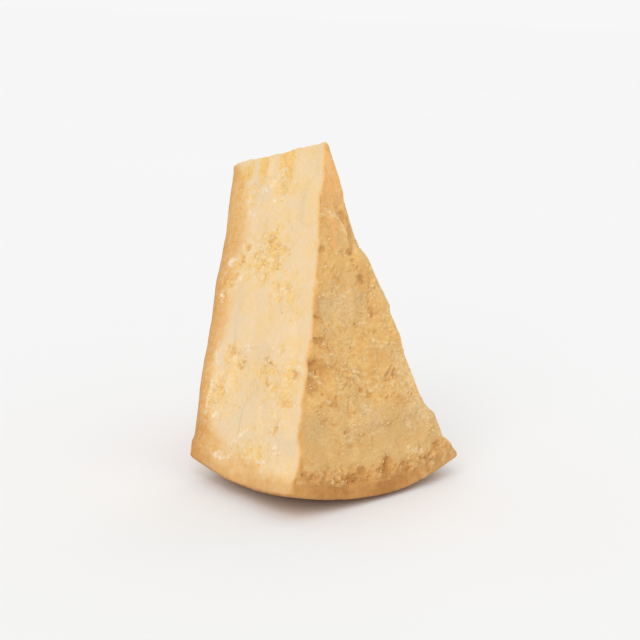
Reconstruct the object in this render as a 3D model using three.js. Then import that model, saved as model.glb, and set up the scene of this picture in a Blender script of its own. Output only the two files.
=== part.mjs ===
// A chunk of hard, aged grating cheese: a wedge split from a wheel that was first cut in two at its
// waist. It stands on its curved heel rind with the wheel's centre at the top, and leans a little
// towards its flat rind, because the heel narrows from the waist to the wheel's flat side.
//
// Every point of its skin is named by three fractions: s across the wedge from the near broken side
// to the far one, t down from the tip to the heel, and w along the wheel's axle from the waist cut to
// the flat rind. The six faces of that box are bent to the wedge, and each adds its own relief along
// its normal. A relief dies away round the corner, so the faces meet in shared, uneven edges.

import * as THREE from 'three';
import { mergeVertices } from 'three/addons/utils/BufferGeometryUtils.js';

const { degToRad, clamp, lerp, smoothstep } = THREE.MathUtils;

// Driving dimensions, in millimetres and degrees.
const WHEEL_RADIUS = 216.2; // axle to heel rind, at the waist cut
const CHUNK_DEPTH = 95; // waist cut to flat rind, along the axle
const NEAR_ANGLE = degToRad(-19.5); // of the near broken side, from straight down
const FAR_ANGLE = degToRad(18.5);
const LEAN = degToRad(18); // the axle dips this much towards the flat rind
const HEEL_SLOPE = 0.106; // loss of radius for each millimetre away from the waist
const HEEL_BULGE = 18; // extra loss of radius at the flat rind, growing as a parabola
const TIP_WIDTH = 5;
const TIP_SIDE = 2.6; // how far the tip sits to the far side of the axle
const TIP_LIFT = 1.8; // how far the tip reaches past the axle
const FLAT_TIP_SIDE = 4.6; // the same two, added by the flat rind
const FLAT_TIP_LIFT = 4.9;
const CORNER_FLARE = 6.4; // how far the near heel corner flares out at the flat rind
const REST_DEPTH = 2.4; // how much of the heel's roundness the resting spot takes

// Wear and breaks, in millimetres.
const RELIEF_REACH = 9; // over which a face's relief dies away round the corner
const EDGE_WEAR = 0.5; // every edge is crumbled back by about this much
const PLATE_JITTER = 0.35; // how far a plate's centre strays, in cells
const PLATE_CRISPNESS = 12; // how short the steps between plates are

// Each face's relief. On a broken side u runs from the tip to the heel and v from the waist to the
// flat rind. On the waist face and the flat rind u is measured sideways from the axle, and v from
// the tip. On the heel u is measured sideways and v along the axle.
const NEAR_SWELL = { height: 1.1, pitchU: 31, pitchV: 27, seed: 11 };
const NEAR_PLATES = { height: 0.9, pitchU: 25, pitchV: 17, seed: 12 };
const NEAR_CALM = 12; // the plates rise over this distance from the waist, so the ridge stays fair
const FAR_SWELL = { height: 1.6, pitchU: 26, pitchV: 24, seed: 21 };
const FAR_PLATES = { height: 1.7, pitchU: 21, pitchV: 18, seed: 22 };
const FAR_CALM = { waist: 16, tip: 25 };
const WAIST_SWELL = { height: 1, pitchU: 29, pitchV: 31, seed: 31 };
const WAIST_PLATES = { height: 1, pitchU: 15, pitchV: 16, seed: 32 };
const WAIST_CALM = 10;
const FLAT_SWELL = { height: 0.4, pitchU: 33, pitchV: 37, seed: 41 };
const HEEL_SWELL = { height: 0.4, pitchU: 41, pitchV: 35, seed: 51 };
const TIP_SWELL = { height: 0.5, pitchU: 9, pitchV: 9, seed: 61 };

// Shallow shell-shaped hollows, placed by the same u and v.
const NEAR_HOLLOWS = [
  { u: 15, v: -2, reachU: 20, reachV: 26, depth: 3.2 },
  { u: 40, v: 97, reachU: 38, reachV: 26, depth: 2.4 },
  { u: 72, v: 0, reachU: 80, reachV: 42, depth: 1.9 },
  { u: 76, v: -2, reachU: 16, reachV: 22, depth: 1.4 },
  { u: 118, v: -2, reachU: 18, reachV: 24, depth: 0.6 },
  { u: 152, v: -2, reachU: 22, reachV: 22, depth: 2.0 },
  { u: 194, v: -2, reachU: 13, reachV: 20, depth: 3.2 },
  { u: 64, v: 50, reachU: 26, reachV: 30, depth: 1.6 },
  { u: 88, v: 74, reachU: 14, reachV: 13, depth: 1.2 },
  { u: 146, v: 54, reachU: 24, reachV: 42, depth: 1.8 },
  { u: 172, v: 68, reachU: 16, reachV: 20, depth: 1.0 },
  { u: 108, v: 66, reachU: 26, reachV: 22, depth: 0.9 },
];
const FAR_HOLLOWS = [
  { u: 128, v: 62, reachU: 70, reachV: 46, depth: 5.5 },
  { u: 60, v: 66, reachU: 30, reachV: 30, depth: 2.5 },
  { u: 186, v: 34, reachU: 24, reachV: 24, depth: 2.2 },
];
const WAIST_HOLLOWS = [
  { u: -54, v: 160, reachU: 12, reachV: 11, depth: 1.0 },
  { u: -44, v: 180, reachU: 17, reachV: 15, depth: 1.2 },
  { u: 0, v: 184, reachU: 22, reachV: 13, depth: 1.2 },
  { u: 28, v: 182, reachU: 17, reachV: 15, depth: 1.2 },
  { u: -20, v: 107, reachU: 18, reachV: 14, depth: 1.2 },
  { u: -3, v: 88, reachU: 12, reachV: 16, depth: 1.0 },
  { u: -40, v: 139, reachU: 9, reachV: 7, depth: 1.4 },
  { u: 13, v: 90, reachU: 8, reachV: 12, depth: 1.2 },
  { u: 6, v: 199, reachU: 6, reachV: 7, depth: 1.8 },
  { u: -17, v: 199, reachU: 9, reachV: 6, depth: 1.3 },
  { u: -41, v: 197, reachU: 8, reachV: 5, depth: 1.0 },
];
// The tip's own hollow, placed sideways and along the axle.
const TIP_HOLLOWS = [{ u: 3, v: 48, reachU: 30, reachV: 24, depth: 1.4 }];

// The far side breaks unevenly where it meets the waist face: [distance from the tip, height].
const FAR_EDGE = [
  [0, -0.6], [24, -3], [45, -7.2], [68, -10], [80, -5.8], [104, -4.4], [109, -4], [113, -6.2],
  [129, -6.8], [140, -9.4], [166, -11], [174, -9.6], [184, -3.6], [200, -4.2], [208, -0.2], [215, 1.6],
];
const FAR_EDGE_REACH = 38; // how far along the axle that outline carries on
// A ribbon of the waist face falls away along the same edge: [distance from the tip, width].
const RIBBON = [[30, 0.1], [60, 13], [84, 8], [102, 7], [116, 5], [136, 0.1]];
const RIBBON_FALL = 0.42; // millimetres of fall for each millimetre of width
const RIBBON_SHOW = 0.945; // the far edge stands out this much more for each millimetre it falls
// Near the tip a flake has broken off the waist face beyond this edge: [distance from the tip, sideways].
const FLAKE_EDGE = [
  [39, -12], [42, -7], [43, -3], [45, 0], [48, 2.5], [53, 5], [66, 6], [70, 8], [75, 15],
];
const FLAKE = { end: 72, fade: 8, step: 1.3, halfStepWidth: 0.7 };

// A band of fluted flakes left standing under the tip of the near side.
const TIP_BAND = { start: 26, full: 34, fade: 70, last: 82, height: 1.2 }; // across, from the waist
const TIP_BAND_END = { length: 11.5, slant: 0.16, halfStepWidth: 1.5 }; // down from the tip
const TIP_BAND_RAGGED = { height: 3, pitchU: 9, pitchV: 9, seed: 3 };
const FLUTES = { height: 0.4, pitch: 9.5 };
const FLUTE_WANDER = { height: 2, pitchU: 30, pitchV: 14, seed: 5 };

// Along the heel the waist face shows a band of smooth, cut rind, a step below the broken cheese.
const RIND_BAND = { height: 8.8, step: 0.5, halfStepWidth: 1.5 };
const RIND_BAND_RAGGED = { height: 1.5, pitchU: 6, pitchV: 6, seed: 33 };

// At the waist face the heel strays from the wheel's arc: [sideways, height].
const HEEL_EDGE = [[-72, -1.75], [-37, -1.6], [-1, 0], [20, 0.85], [70, 0.95]];
const HEEL_EDGE_REACH = 25; // how far along the axle that carries on

// Mesh steps over the three fractions.
const STEPS_ACROSS = 25;
const STEPS_DOWN = 50;
const STEPS_ALONG = 21;

const WEDGE_ANGLE = FAR_ANGLE - NEAR_ANGLE;

const heelRadius = (y) => WHEEL_RADIUS - HEEL_SLOPE * y - HEEL_BULGE * (y / CHUNK_DEPTH) ** 2;

// The heel touches the ground where its slope equals the lean, and that point is the origin.
const REST_Y = ((Math.tan(LEAN) - HEEL_SLOPE) * CHUNK_DEPTH ** 2) / (2 * HEEL_BULGE);
const REST_RADIUS = heelRadius(REST_Y);
const REST_FORWARD = REST_Y * Math.cos(LEAN) - REST_RADIUS * Math.sin(LEAN);
const REST_RISE = REST_RADIUS * Math.cos(LEAN) + REST_Y * Math.sin(LEAN) - REST_DEPTH;

// A repeatable random number from -1 to 1 for each corner of a square lattice.
function latticeValue(i, j, seed) {
  const value = Math.sin(i * 127.1 + j * 311.7 + seed * 74.7) * 43758.5453;
  return 2 * (value - Math.floor(value)) - 1;
}

// Smooth noise from -1 to 1, with one lattice step for each unit of u and v.
function noise(u, v, seed) {
  const i = Math.floor(u);
  const j = Math.floor(v);
  const fadeU = smoothstep(u - i, 0, 1);
  const fadeV = smoothstep(v - j, 0, 1);
  const low = lerp(latticeValue(i, j, seed), latticeValue(i + 1, j, seed), fadeU);
  const high = lerp(latticeValue(i, j + 1, seed), latticeValue(i + 1, j + 1, seed), fadeU);
  return lerp(low, high, fadeV);
}

// Broken plates from about -1 to 1: each cell of an uneven lattice is a plate with its own height and
// tilt, and neighbouring plates meet in a short steep step.
function plates(u, v, seed) {
  let heights = 0;
  let weights = 0;
  for (let i = Math.floor(u) - 1; i <= Math.floor(u) + 1; i += 1) {
    for (let j = Math.floor(v) - 1; j <= Math.floor(v) + 1; j += 1) {
      const du = u - i - 0.5 - PLATE_JITTER * latticeValue(i, j, seed);
      const dv = v - j - 0.5 - PLATE_JITTER * latticeValue(i, j, seed + 1);
      const weight = Math.exp(-PLATE_CRISPNESS * (du * du + dv * dv));
      const tilt = du * latticeValue(i, j, seed + 3) + dv * latticeValue(i, j, seed + 4);
      heights += weight * (latticeValue(i, j, seed + 2) + tilt);
      weights += weight;
    }
  }
  return heights / weights;
}

const swell = (layer, u, v) => layer.height * noise(u / layer.pitchU, v / layer.pitchV, layer.seed);

const breaks = (layer, u, v) => layer.height * plates(u / layer.pitchU, v / layer.pitchV, layer.seed);

// A curve of straight stretches through [x, value] points, held at its last value beyond them.
function along(points, x) {
  const next = points.findIndex((point) => point[0] > x);
  if (next < 0) return points[points.length - 1][1];
  const [x1, value1] = points[next];
  const [x0, value0] = points[Math.max(0, next - 1)];
  return next === 0 ? value1 : lerp(value0, value1, clamp((x - x0) / (x1 - x0), 0, 1));
}

// The summed depth of shell-shaped hollows, each an upturned paraboloid with a crisp rim.
function hollowDepth(hollows, u, v) {
  let depth = 0;
  for (const hollow of hollows) {
    const du = (u - hollow.u) / hollow.reachU;
    const dv = (v - hollow.v) / hollow.reachV;
    depth += hollow.depth * Math.max(0, 1 - du * du - dv * dv);
  }
  return depth;
}

// Height of the fluted band under the tip, at r from the tip and y from the waist.
function tipBandHeight(r, y) {
  const ragged = swell(TIP_BAND_RAGGED, y, TIP_BAND_RAGGED.pitchV / 2);
  const end = TIP_BAND_END.length + TIP_BAND_END.slant * (y - TIP_BAND.start) + ragged;
  const faded = 1 - smoothstep(y, TIP_BAND.fade, TIP_BAND.last);
  const inside = smoothstep(y, TIP_BAND.start, TIP_BAND.full) * faded;
  const above = 1 - smoothstep(r, end - TIP_BAND_END.halfStepWidth, end + TIP_BAND_END.halfStepWidth);
  const flute = 0.5 + 0.5 * Math.sin((2 * Math.PI * y) / FLUTES.pitch + swell(FLUTE_WANDER, r, y));
  return inside * above * (TIP_BAND.height + FLUTES.height * flute);
}

// Height of the near broken side at r from the tip and y from the waist.
function nearRelief(r, y) {
  const rough = swell(NEAR_SWELL, r, y) + breaks(NEAR_PLATES, r, y) * smoothstep(y, 0, NEAR_CALM);
  return tipBandHeight(r, y) - hollowDepth(NEAR_HOLLOWS, r, y) + rough;
}

// Height of the far broken side: its outline at the waist, then rougher and hollowed behind it.
function farRelief(r, y) {
  const outline = along(FAR_EDGE, r) + RIBBON_SHOW * RIBBON_FALL * along(RIBBON, r);
  const hollows = hollowDepth(FAR_HOLLOWS, r, y) * smoothstep(y, 0, 2 * FAR_CALM.waist);
  const rough = swell(FAR_SWELL, r, y) + breaks(FAR_PLATES, r, y);
  const inside = smoothstep(y, 0, FAR_CALM.waist) * smoothstep(r, 0, FAR_CALM.tip);
  return outline * Math.exp(-y / FAR_EDGE_REACH) - hollows + rough * inside;
}

// 1 where the flake has broken off the waist face and 0 where it stayed.
function flakeFall(x, r) {
  const gone = smoothstep(x - along(FLAKE_EDGE, r), -FLAKE.halfStepWidth, FLAKE.halfStepWidth);
  const first = FLAKE_EDGE[0][0];
  const begun = smoothstep(r, first - FLAKE.fade, first);
  return gone * begun * (1 - smoothstep(r, FLAKE.end - FLAKE.fade, FLAKE.end));
}

// Height of the waist face at x sideways, r from the tip and gap from the far edge.
function waistRelief(x, r, gap) {
  const bandStart = WHEEL_RADIUS - RIND_BAND.height - swell(RIND_BAND_RAGGED, x, r);
  const paste = 1 - smoothstep(r, bandStart - RIND_BAND.halfStepWidth, bandStart + RIND_BAND.halfStepWidth);
  const rough = swell(WAIST_SWELL, x, r) + breaks(WAIST_PLATES, x, r) * smoothstep(gap, 0, WAIST_CALM);
  const ribbon = RIBBON_FALL * Math.max(0, along(RIBBON, r) - gap);
  const lost = hollowDepth(WAIST_HOLLOWS, x, r) + FLAKE.step * flakeFall(x, r);
  return (RIND_BAND.step + rough - lost) * paste - ribbon;
}

// Height of the heel at x sideways and y from the waist.
function heelRelief(x, y) {
  return swell(HEEL_SWELL, x, y) + along(HEEL_EDGE, x) * Math.exp(-y / HEEL_EDGE_REACH);
}

// Height of the tip at x sideways and y from the waist.
const tipRelief = (x, y) => swell(TIP_SWELL, x, y) - hollowDepth(TIP_HOLLOWS, x, y);

// How far a point lies crumbled back for its distances from the edges of its face.
function edgeWear(...distances) {
  return distances.reduce((wear, distance) => wear + EDGE_WEAR * Math.exp(-distance / EDGE_WEAR), 0);
}

// The plain wedge with flat faces at fractions s, t and w: a ray from the tip line to the heel.
function plainWedge(s, t, w) {
  const y = w * CHUNK_DEPTH;
  const angle = lerp(NEAR_ANGLE, FAR_ANGLE, s);
  const heel = heelRadius(y);
  const flare = CORNER_FLARE * w * (1 - s);
  const heelX = heel * Math.sin(angle) - flare * Math.cos(NEAR_ANGLE);
  const heelZ = -heel * Math.cos(angle) - flare * Math.sin(NEAR_ANGLE);
  const x = lerp(FLAT_TIP_SIDE * w + TIP_SIDE + TIP_WIDTH * (s - 0.5), heelX, t);
  const z = lerp(TIP_LIFT + FLAT_TIP_LIFT * w, heelZ, t);
  return { x, y, z, angle, heel, r: t * heel };
}

// The height of each face's relief at a point of the wedge, worn at the edges and faded round them.
function faceReliefs({ y, angle, heel, r }, s) {
  const across = r * Math.sin(angle);
  const width = TIP_WIDTH + r * WEDGE_ANGLE;
  const toNear = s * width;
  const toFar = (1 - s) * width;
  const toFlat = CHUNK_DEPTH - y;
  const toHeel = heel - r;
  const sideWear = edgeWear(y, toFlat, toHeel, r);
  const endWear = edgeWear(toNear, toFar, toHeel, r);
  const rimWear = edgeWear(toNear, toFar, y, toFlat);
  const fade = (distance) => Math.exp(-distance / RELIEF_REACH);
  return {
    near: (nearRelief(r, y) - sideWear) * fade(toNear),
    far: (farRelief(r, y) - sideWear) * fade(toFar),
    waist: (waistRelief(across, r, toFar) - endWear) * fade(y),
    flat: (swell(FLAT_SWELL, across, r) - endWear) * fade(toFlat),
    heel: (heelRelief(across, y) - rimWear) * fade(toHeel),
    tip: (tipRelief(across, y) - rimWear) * fade(r),
  };
}

// Leans a point of the wheel's frame, drops it to the ground and flattens the resting spot.
function stand(x, y, z) {
  const forward = y * Math.cos(LEAN) + z * Math.sin(LEAN) - REST_FORWARD;
  const rise = z * Math.cos(LEAN) - y * Math.sin(LEAN) + REST_RISE;
  return [x, forward, Math.max(rise, 0)];
}

// The point of the finished skin at fractions s, t and w.
function skinPoint(s, t, w) {
  const wedge = plainWedge(s, t, w);
  const height = faceReliefs(wedge, s);
  const sideX = height.far * Math.cos(FAR_ANGLE) - height.near * Math.cos(NEAR_ANGLE);
  const sideZ = height.far * Math.sin(FAR_ANGLE) - height.near * Math.sin(NEAR_ANGLE);
  const x = wedge.x + sideX + height.heel * Math.sin(wedge.angle);
  const y = wedge.y - height.waist + height.flat;
  const z = wedge.z + sideZ + height.tip - height.heel * Math.cos(wedge.angle);
  return stand(x, y, z);
}

// Adds one face of the box as a grid, where place turns the two grid fractions into s, t and w.
function addFace(skin, stepsU, stepsV, place, flipped) {
  const first = skin.positions.length / 3;
  for (let i = 0; i <= stepsU; i += 1) {
    for (let j = 0; j <= stepsV; j += 1) {
      skin.positions.push(...skinPoint(...place(i / stepsU, j / stepsV)));
    }
  }
  for (let i = 0; i < stepsU; i += 1) {
    for (let j = 0; j < stepsV; j += 1) {
      const a = first + i * (stepsV + 1) + j;
      const b = a + stepsV + 1;
      skin.indices.push(...(flipped ? [a, a + 1, b + 1, a, b + 1, b] : [a, b, b + 1, a, b + 1, a + 1]));
    }
  }
}

function chunkGeometry() {
  const skin = { positions: [], indices: [] };
  addFace(skin, STEPS_DOWN, STEPS_ALONG, (u, v) => [0, u, v], true); // near broken side
  addFace(skin, STEPS_DOWN, STEPS_ALONG, (u, v) => [1, u, v], false); // far broken side
  addFace(skin, STEPS_ACROSS, STEPS_DOWN, (u, v) => [u, v, 0], true); // waist cut
  addFace(skin, STEPS_ACROSS, STEPS_DOWN, (u, v) => [u, v, 1], false); // flat rind
  addFace(skin, STEPS_ALONG, STEPS_ACROSS, (u, v) => [v, 1, u], false); // heel rind
  addFace(skin, STEPS_ALONG, STEPS_ACROSS, (u, v) => [v, 0, u], true); // tip
  const geometry = new THREE.BufferGeometry();
  geometry.setAttribute('position', new THREE.Float32BufferAttribute(skin.positions, 3));
  geometry.setIndex(skin.indices);
  const closed = mergeVertices(geometry);
  closed.computeVertexNormals();
  return closed;
}

const cheese = new THREE.MeshStandardMaterial({ color: 0xe6c48c, roughness: 0.75, metalness: 0 });

const chunk = new THREE.Mesh(chunkGeometry(), cheese);
chunk.name = 'cheese_chunk';

const group = new THREE.Group();
group.add(chunk);

export default group;
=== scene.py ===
"""The looks of a chunk of hard, aged grating cheese, laid out as a Blender add-on.

The chunk is a wedge split from a wheel that was first cut in two at its waist. It stands on its curved
heel rind with the wheel's centre, the tip, at the top. Its six faces are the near and the far broken
side, the waist cut, the flat rind, the heel rind and the small tip.

Every point of its skin is named by three fractions: s across the wedge from the near side to the far
one, t down from the tip to the heel, and w along the wheel's axle from the waist cut to the flat rind.
Lengths are in millimetres until a mesh is made.
"""

import math
from collections import namedtuple

import bpy
import numpy as np
from mathutils import Color, Matrix


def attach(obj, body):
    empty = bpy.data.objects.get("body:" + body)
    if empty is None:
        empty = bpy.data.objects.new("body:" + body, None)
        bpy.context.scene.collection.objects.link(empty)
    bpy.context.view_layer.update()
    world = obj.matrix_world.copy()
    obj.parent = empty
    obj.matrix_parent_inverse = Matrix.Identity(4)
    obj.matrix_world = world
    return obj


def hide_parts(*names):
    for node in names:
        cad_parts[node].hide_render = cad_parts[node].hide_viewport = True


bl_info = {
    "name": "Aged cheese chunk",
    "version": (1, 0, 0),
    "blender": (4, 5, 0),
    "location": "View3D > Sidebar > Cheese",
    "description": "Makes the broken skin, crumbs and crystals of a standing chunk of aged cheese",
    "category": "Add Mesh",
}

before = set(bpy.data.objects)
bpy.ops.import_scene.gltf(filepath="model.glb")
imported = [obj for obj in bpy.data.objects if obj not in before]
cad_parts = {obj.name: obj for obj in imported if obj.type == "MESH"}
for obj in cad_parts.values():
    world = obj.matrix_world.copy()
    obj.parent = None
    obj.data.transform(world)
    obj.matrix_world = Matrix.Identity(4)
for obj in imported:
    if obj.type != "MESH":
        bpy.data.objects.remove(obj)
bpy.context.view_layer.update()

MM = 0.001

# The wedge, with the same values as its solid.
WHEEL_RADIUS = 216.2
CHUNK_DEPTH = 95.0
NEAR_ANGLE = math.radians(-19.5)
FAR_ANGLE = math.radians(18.5)
WEDGE_ANGLE = FAR_ANGLE - NEAR_ANGLE
LEAN = math.radians(18)
HEEL_SLOPE = 0.106
HEEL_BULGE = 18.0
TIP_WIDTH = 5.0
TIP_SIDE = 2.6
TIP_LIFT = 1.8
FLAT_TIP_SIDE = 4.6
FLAT_TIP_LIFT = 4.9
CORNER_FLARE = 6.4
REST_DEPTH = 2.4
RELIEF_REACH = 9.0
EDGE_WEAR = 0.5

# What noise, plates and grains are made with. The noise and the plates are the same as the solid's.
LATTICE_U = 127.1
LATTICE_V = 311.7
LATTICE_SEED = 74.7
LATTICE_SCALE = 43758.5453
PLATE_JITTER = 0.35
PLATE_CRISPNESS = 12.0
GRAIN_JITTER = 0.4
GRAIN_SIZE = 0.45
GRAIN_SPREAD = 0.2

# A layer of noise or plates: its height in millimetres or its strength, its cells' size both ways, its seed.
Layer = namedtuple("Layer", "height pitch_u pitch_v seed")
# A shell-shaped hollow: an ellipse centred at u, v, and its depth.
Hollow = namedtuple("Hollow", "u v reach_u reach_v depth")
# A triangular pit whose apex points at the tip.
Notch = namedtuple("Notch", "u v width height depth")
# A ragged patch of one tone: an ellipse centred at u, v and turned by some degrees.
Patch = namedtuple("Patch", "u v reach_u reach_v turn", defaults=(0.0,))
# All patches of one tone: their seed, how far their outlines stray, how soft they are, and their numbers.
Patches = namedtuple("Patches", "seed stray softness places")
# How a scattered bit is made, from rings and segments, and the seed that places all of its kind.
Bits = namedtuple("Bits", "rings segments seed")
# Points of the plain wedge: their place, their angle round the axle, their distance r from the tip line and
# that distance measured sideways, and how far they are from the near, far, flat and heel faces.
Wedge = namedtuple("Wedge", "x y z angle r across near far flat heel")


def hollows(*rows):
    """The hollows of a face, from rows of numbers."""
    return tuple(Hollow(*row) for row in rows)


# The solid's own relief. On a broken side u is the distance from the tip and v that from the waist. On
# the waist cut and the flat rind u is measured sideways from the axle and v from the tip. On the heel u
# is measured sideways and v along the axle.
NEAR_SWELL = Layer(1.1, 31, 27, 11)
NEAR_PLATES = Layer(0.9, 25, 17, 12)
NEAR_CALM = 12.0
FAR_SWELL = Layer(1.6, 26, 24, 21)
FAR_PLATES = Layer(1.7, 21, 18, 22)
FAR_CALM_WAIST = 16.0
FAR_CALM_TIP = 25.0
WAIST_SWELL = Layer(1.0, 29, 31, 31)
WAIST_PLATES = Layer(1.0, 15, 16, 32)
WAIST_CALM = 10.0
FLAT_SWELL = Layer(0.4, 33, 37, 41)
HEEL_SWELL = Layer(0.4, 41, 35, 51)
TIP_SWELL = Layer(0.5, 9, 9, 61)

NEAR_HOLLOWS = hollows(
    (15, -2, 20, 26, 3.2), (40, 97, 38, 26, 2.4), (72, 0, 80, 42, 1.9), (76, -2, 16, 22, 1.4),
    (118, -2, 18, 24, 0.6), (152, -2, 22, 22, 2), (194, -2, 13, 20, 3.2), (64, 50, 26, 30, 1.6),
    (88, 74, 14, 13, 1.2), (146, 54, 24, 42, 1.8), (172, 68, 16, 20, 1), (108, 66, 26, 22, 0.9),
)
FAR_HOLLOWS = hollows(
    (128, 62, 70, 46, 5.5), (60, 66, 30, 30, 2.5), (186, 34, 24, 24, 2.2),
)
WAIST_HOLLOWS = hollows(
    (-54, 160, 12, 11, 1), (-44, 180, 17, 15, 1.2), (0, 184, 22, 13, 1.2), (28, 182, 17, 15, 1.2),
    (-20, 107, 18, 14, 1.2), (-3, 88, 12, 16, 1), (-40, 139, 9, 7, 1.4), (13, 90, 8, 12, 1.2),
    (6, 199, 6, 7, 1.8), (-17, 199, 9, 6, 1.3), (-41, 197, 8, 5, 1),
)
TIP_HOLLOWS = hollows((3, 48, 30, 24, 1.4))
FAR_EDGE = (
    (0, -0.6), (24, -3), (45, -7.2), (68, -10), (80, -5.8), (104, -4.4), (109, -4), (113, -6.2),
    (129, -6.8), (140, -9.4), (166, -11), (174, -9.6), (184, -3.6), (200, -4.2), (208, -0.2), (215, 1.6),
)
FAR_EDGE_REACH = 38.0
FLAKE_EDGE = ((39, -12), (42, -7), (43, -3), (45, 0), (48, 2.5), (53, 5), (66, 6), (70, 8), (75, 15))
FLAKE_END = 72.0
FLAKE_FADE = 8.0
FLAKE_STEP = 1.3
FLAKE_HALF_STEP = 0.7
RIBBON = ((30, 0.1), (60, 13), (84, 8), (102, 7), (116, 5), (136, 0.1))
RIBBON_FALL = 0.42
RIBBON_SHOW = 0.945
TIP_BAND_START = 26.0
TIP_BAND_FULL = 34.0
TIP_BAND_FADE = 70.0
TIP_BAND_LAST = 82.0
TIP_BAND_LENGTH = 11.5
TIP_BAND_SLANT = 0.16
TIP_BAND_STEP = 1.5
TIP_BAND_HEIGHT = 1.2
TIP_BAND_RAGGED = Layer(3, 9, 9, 3)
FLUTE_HEIGHT = 0.4
FLUTE_PITCH = 9.5
FLUTE_WANDER = Layer(2, 30, 14, 5)
RIND_BAND_HEIGHT = 8.8
RIND_BAND_STEP = 0.5
RIND_BAND_HALF_STEP = 1.5
RIND_BAND_RAGGED = Layer(1.5, 6, 6, 33)
HEEL_EDGE = ((-72, -1.75), (-37, -1.6), (-1, 0), (20, 0.85), (70, 0.95))
HEEL_EDGE_REACH = 25.0

# The finer breaks that only the looks carry, and the patches of their tones, placed as above.
FINE_REACH = 2.2  # over which they die away round a corner
FINE_LIMIT = 5 * FINE_REACH  # beyond which they are left out
FINE_CRISPNESS = 30.0
TONE_REACH = 0.45  # over which one face's colouring gives way to the next one's

# What makes the outlines of patches torn.
PUSH_COARSE = Layer(1, 9, 9, 0)
PUSH_FINE = Layer(0.6, 3, 3, 1)
PATCH_RAGGED = Layer(0.5, 1.6, 1.4, 4)
PATCH_SHRINK = 0.1
OFF_ALL_PATCHES = -9.0

CRAG_BIG = 7  # widths of the plates of a crag
CRAG_MIDDLE = 3.2
CRAG_SMALL = 1.6

# The skin's grid, and how many triangles are left of it.
STEPS_ACROSS = 200
STEPS_DOWN = 340
STEPS_ALONG = 150
SKIN_TRIANGLES = 190000

NEAR_TORN = Patches(201, 1.8, 0.5, (
    (57, 43, 6, 6.5, -20), (65, 37, 8, 6, -35), (73, 35.5, 4.5, 4.5), (63, 56, 4, 5.5, -25),
    (70, 54, 5.5, 4.5, -20), (57.5, 66.5, 3, 4.5), (66, 74, 4, 3.8), (77, 82, 5.5, 7),
    (88, 85, 4.5, 3), (124, 69, 4.5, 4.5), (132, 60, 6, 6), (137, 36, 6, 9), (146, 33, 4, 5, 30),
    (144, 9, 5, 8), (161, 13, 4, 11), (150, 79, 9, 7), (176, 19.5, 6.5, 2.6), (64, 1, 3, 3),
))
NEAR_FAINT = Patches(203, 3.0, 0.9, (
    (65, 45, 15, 17, -20), (82, 44, 7, 6), (95, 24, 15, 10, -40), (22, 79, 16, 8), (24, 35, 4, 11),
    (36, 80, 18, 8), (146, 30, 16, 30), (150, 76, 18, 13), (170, 34, 16, 6), (128, 66, 10, 9),
    (188, 40, 8, 24, 6), (150, 64, 18, 5),
))
NEAR_DEEP = Patches(215, 1.5, 0.9, (
    (57, 43.5, 2.6, 3.5, -20), (73.5, 36, 3.6, 3.8), (63.5, 57, 2, 3, -25), (58, 65.5, 2.6, 4),
    (68, 73.5, 5, 4.5, -30), (79, 79, 2, 3, 20), (124, 69.5, 2.8, 3), (146.5, 32.5, 1.8, 4.2, 12),
    (160, 12, 2, 6), (145, 7, 2.5, 4), (176, 19, 4.5, 1.2), (65, 0.5, 2, 2.5), (128, 64, 3, 1.2, 40),
))
NEAR_SCUFFED = Patches(224, 3.0, 0.9, (
    (136, 70, 18, 20), (142, 24, 22, 22), (176, 30, 22, 20), (165, 78, 22, 10), (66, 50, 18, 30, -20),
    (92, 26, 16, 14, -40), (20, 60, 12, 26), (194, 44, 8, 34),
))
NEAR_DULL = Patches(217, 3.0, 0.9, (
    (160, 56, 17, 13, -20), (153, 42, 8, 12), (160, 46, 14, 3, 4), (125, 80, 11, 5), (110, 68, 8, 8),
    (165, 36, 15, 6), (170, 70, 14, 8, -30), (185, 50, 6, 10), (190, 60, 8, 14), (103, 22, 10, 7, -30),
    (26, 52, 6, 7), (186, 14, 8, 14), (150, 50, 7, 16), (128, 38, 7, 8), (180, 42, 7, 12),
))
NEAR_CHALK = Patches(205, 1.6, 0.7, (
    (65.5, 81, 3.4, 5, -12), (79, 72.5, 3, 1.6), (88, 86.5, 5, 1.6, -12), (123, 80.5, 9, 2.6),
    (149, 86, 12, 1.5, 4), (163, 76, 2, 2.2), (123, 54, 2, 4.5), (187.5, 65, 2.7, 7, 6),
    (178, 52, 9, 1.9, 66), (194, 29, 3, 4.5), (189, 18, 3, 6), (23.5, 52, 3, 4.5, 10),
    (22, 61, 1.2, 4, 15), (17, 43, 1.6, 8, -22), (20, 38, 1, 6, -14), (31, 38, 1.5, 10, -20),
    (39.5, 63, 1.6, 6, 38),
))
TIP_STREAKS = Patches(219, 0.8, 0.6, (
    (7, 30.5, 14, 3.6), (9, 37, 12, 4.5), (9, 56, 11, 4.2), (5, 68.5, 10, 1.3), (10, 78, 6, 9),
    (8, 52, 7, 2.4),
))
WAIST_SMOOTH = Patches(401, 2.5, 0.8, (
    (-46, 177, 15, 13), (-52, 190, 12, 9), (12, 186, 17, 8), (30, 188, 18, 9), (-6, 103, 9, 9),
    (-24, 102, 9, 6), (-24, 116, 8, 4), (2, 92, 5.5, 17, -6), (-3, 58, 5, 9, -10), (20, 137, 12, 6),
    (-8, 165, 7, 5), (-3, 33, 6, 10),
))
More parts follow.
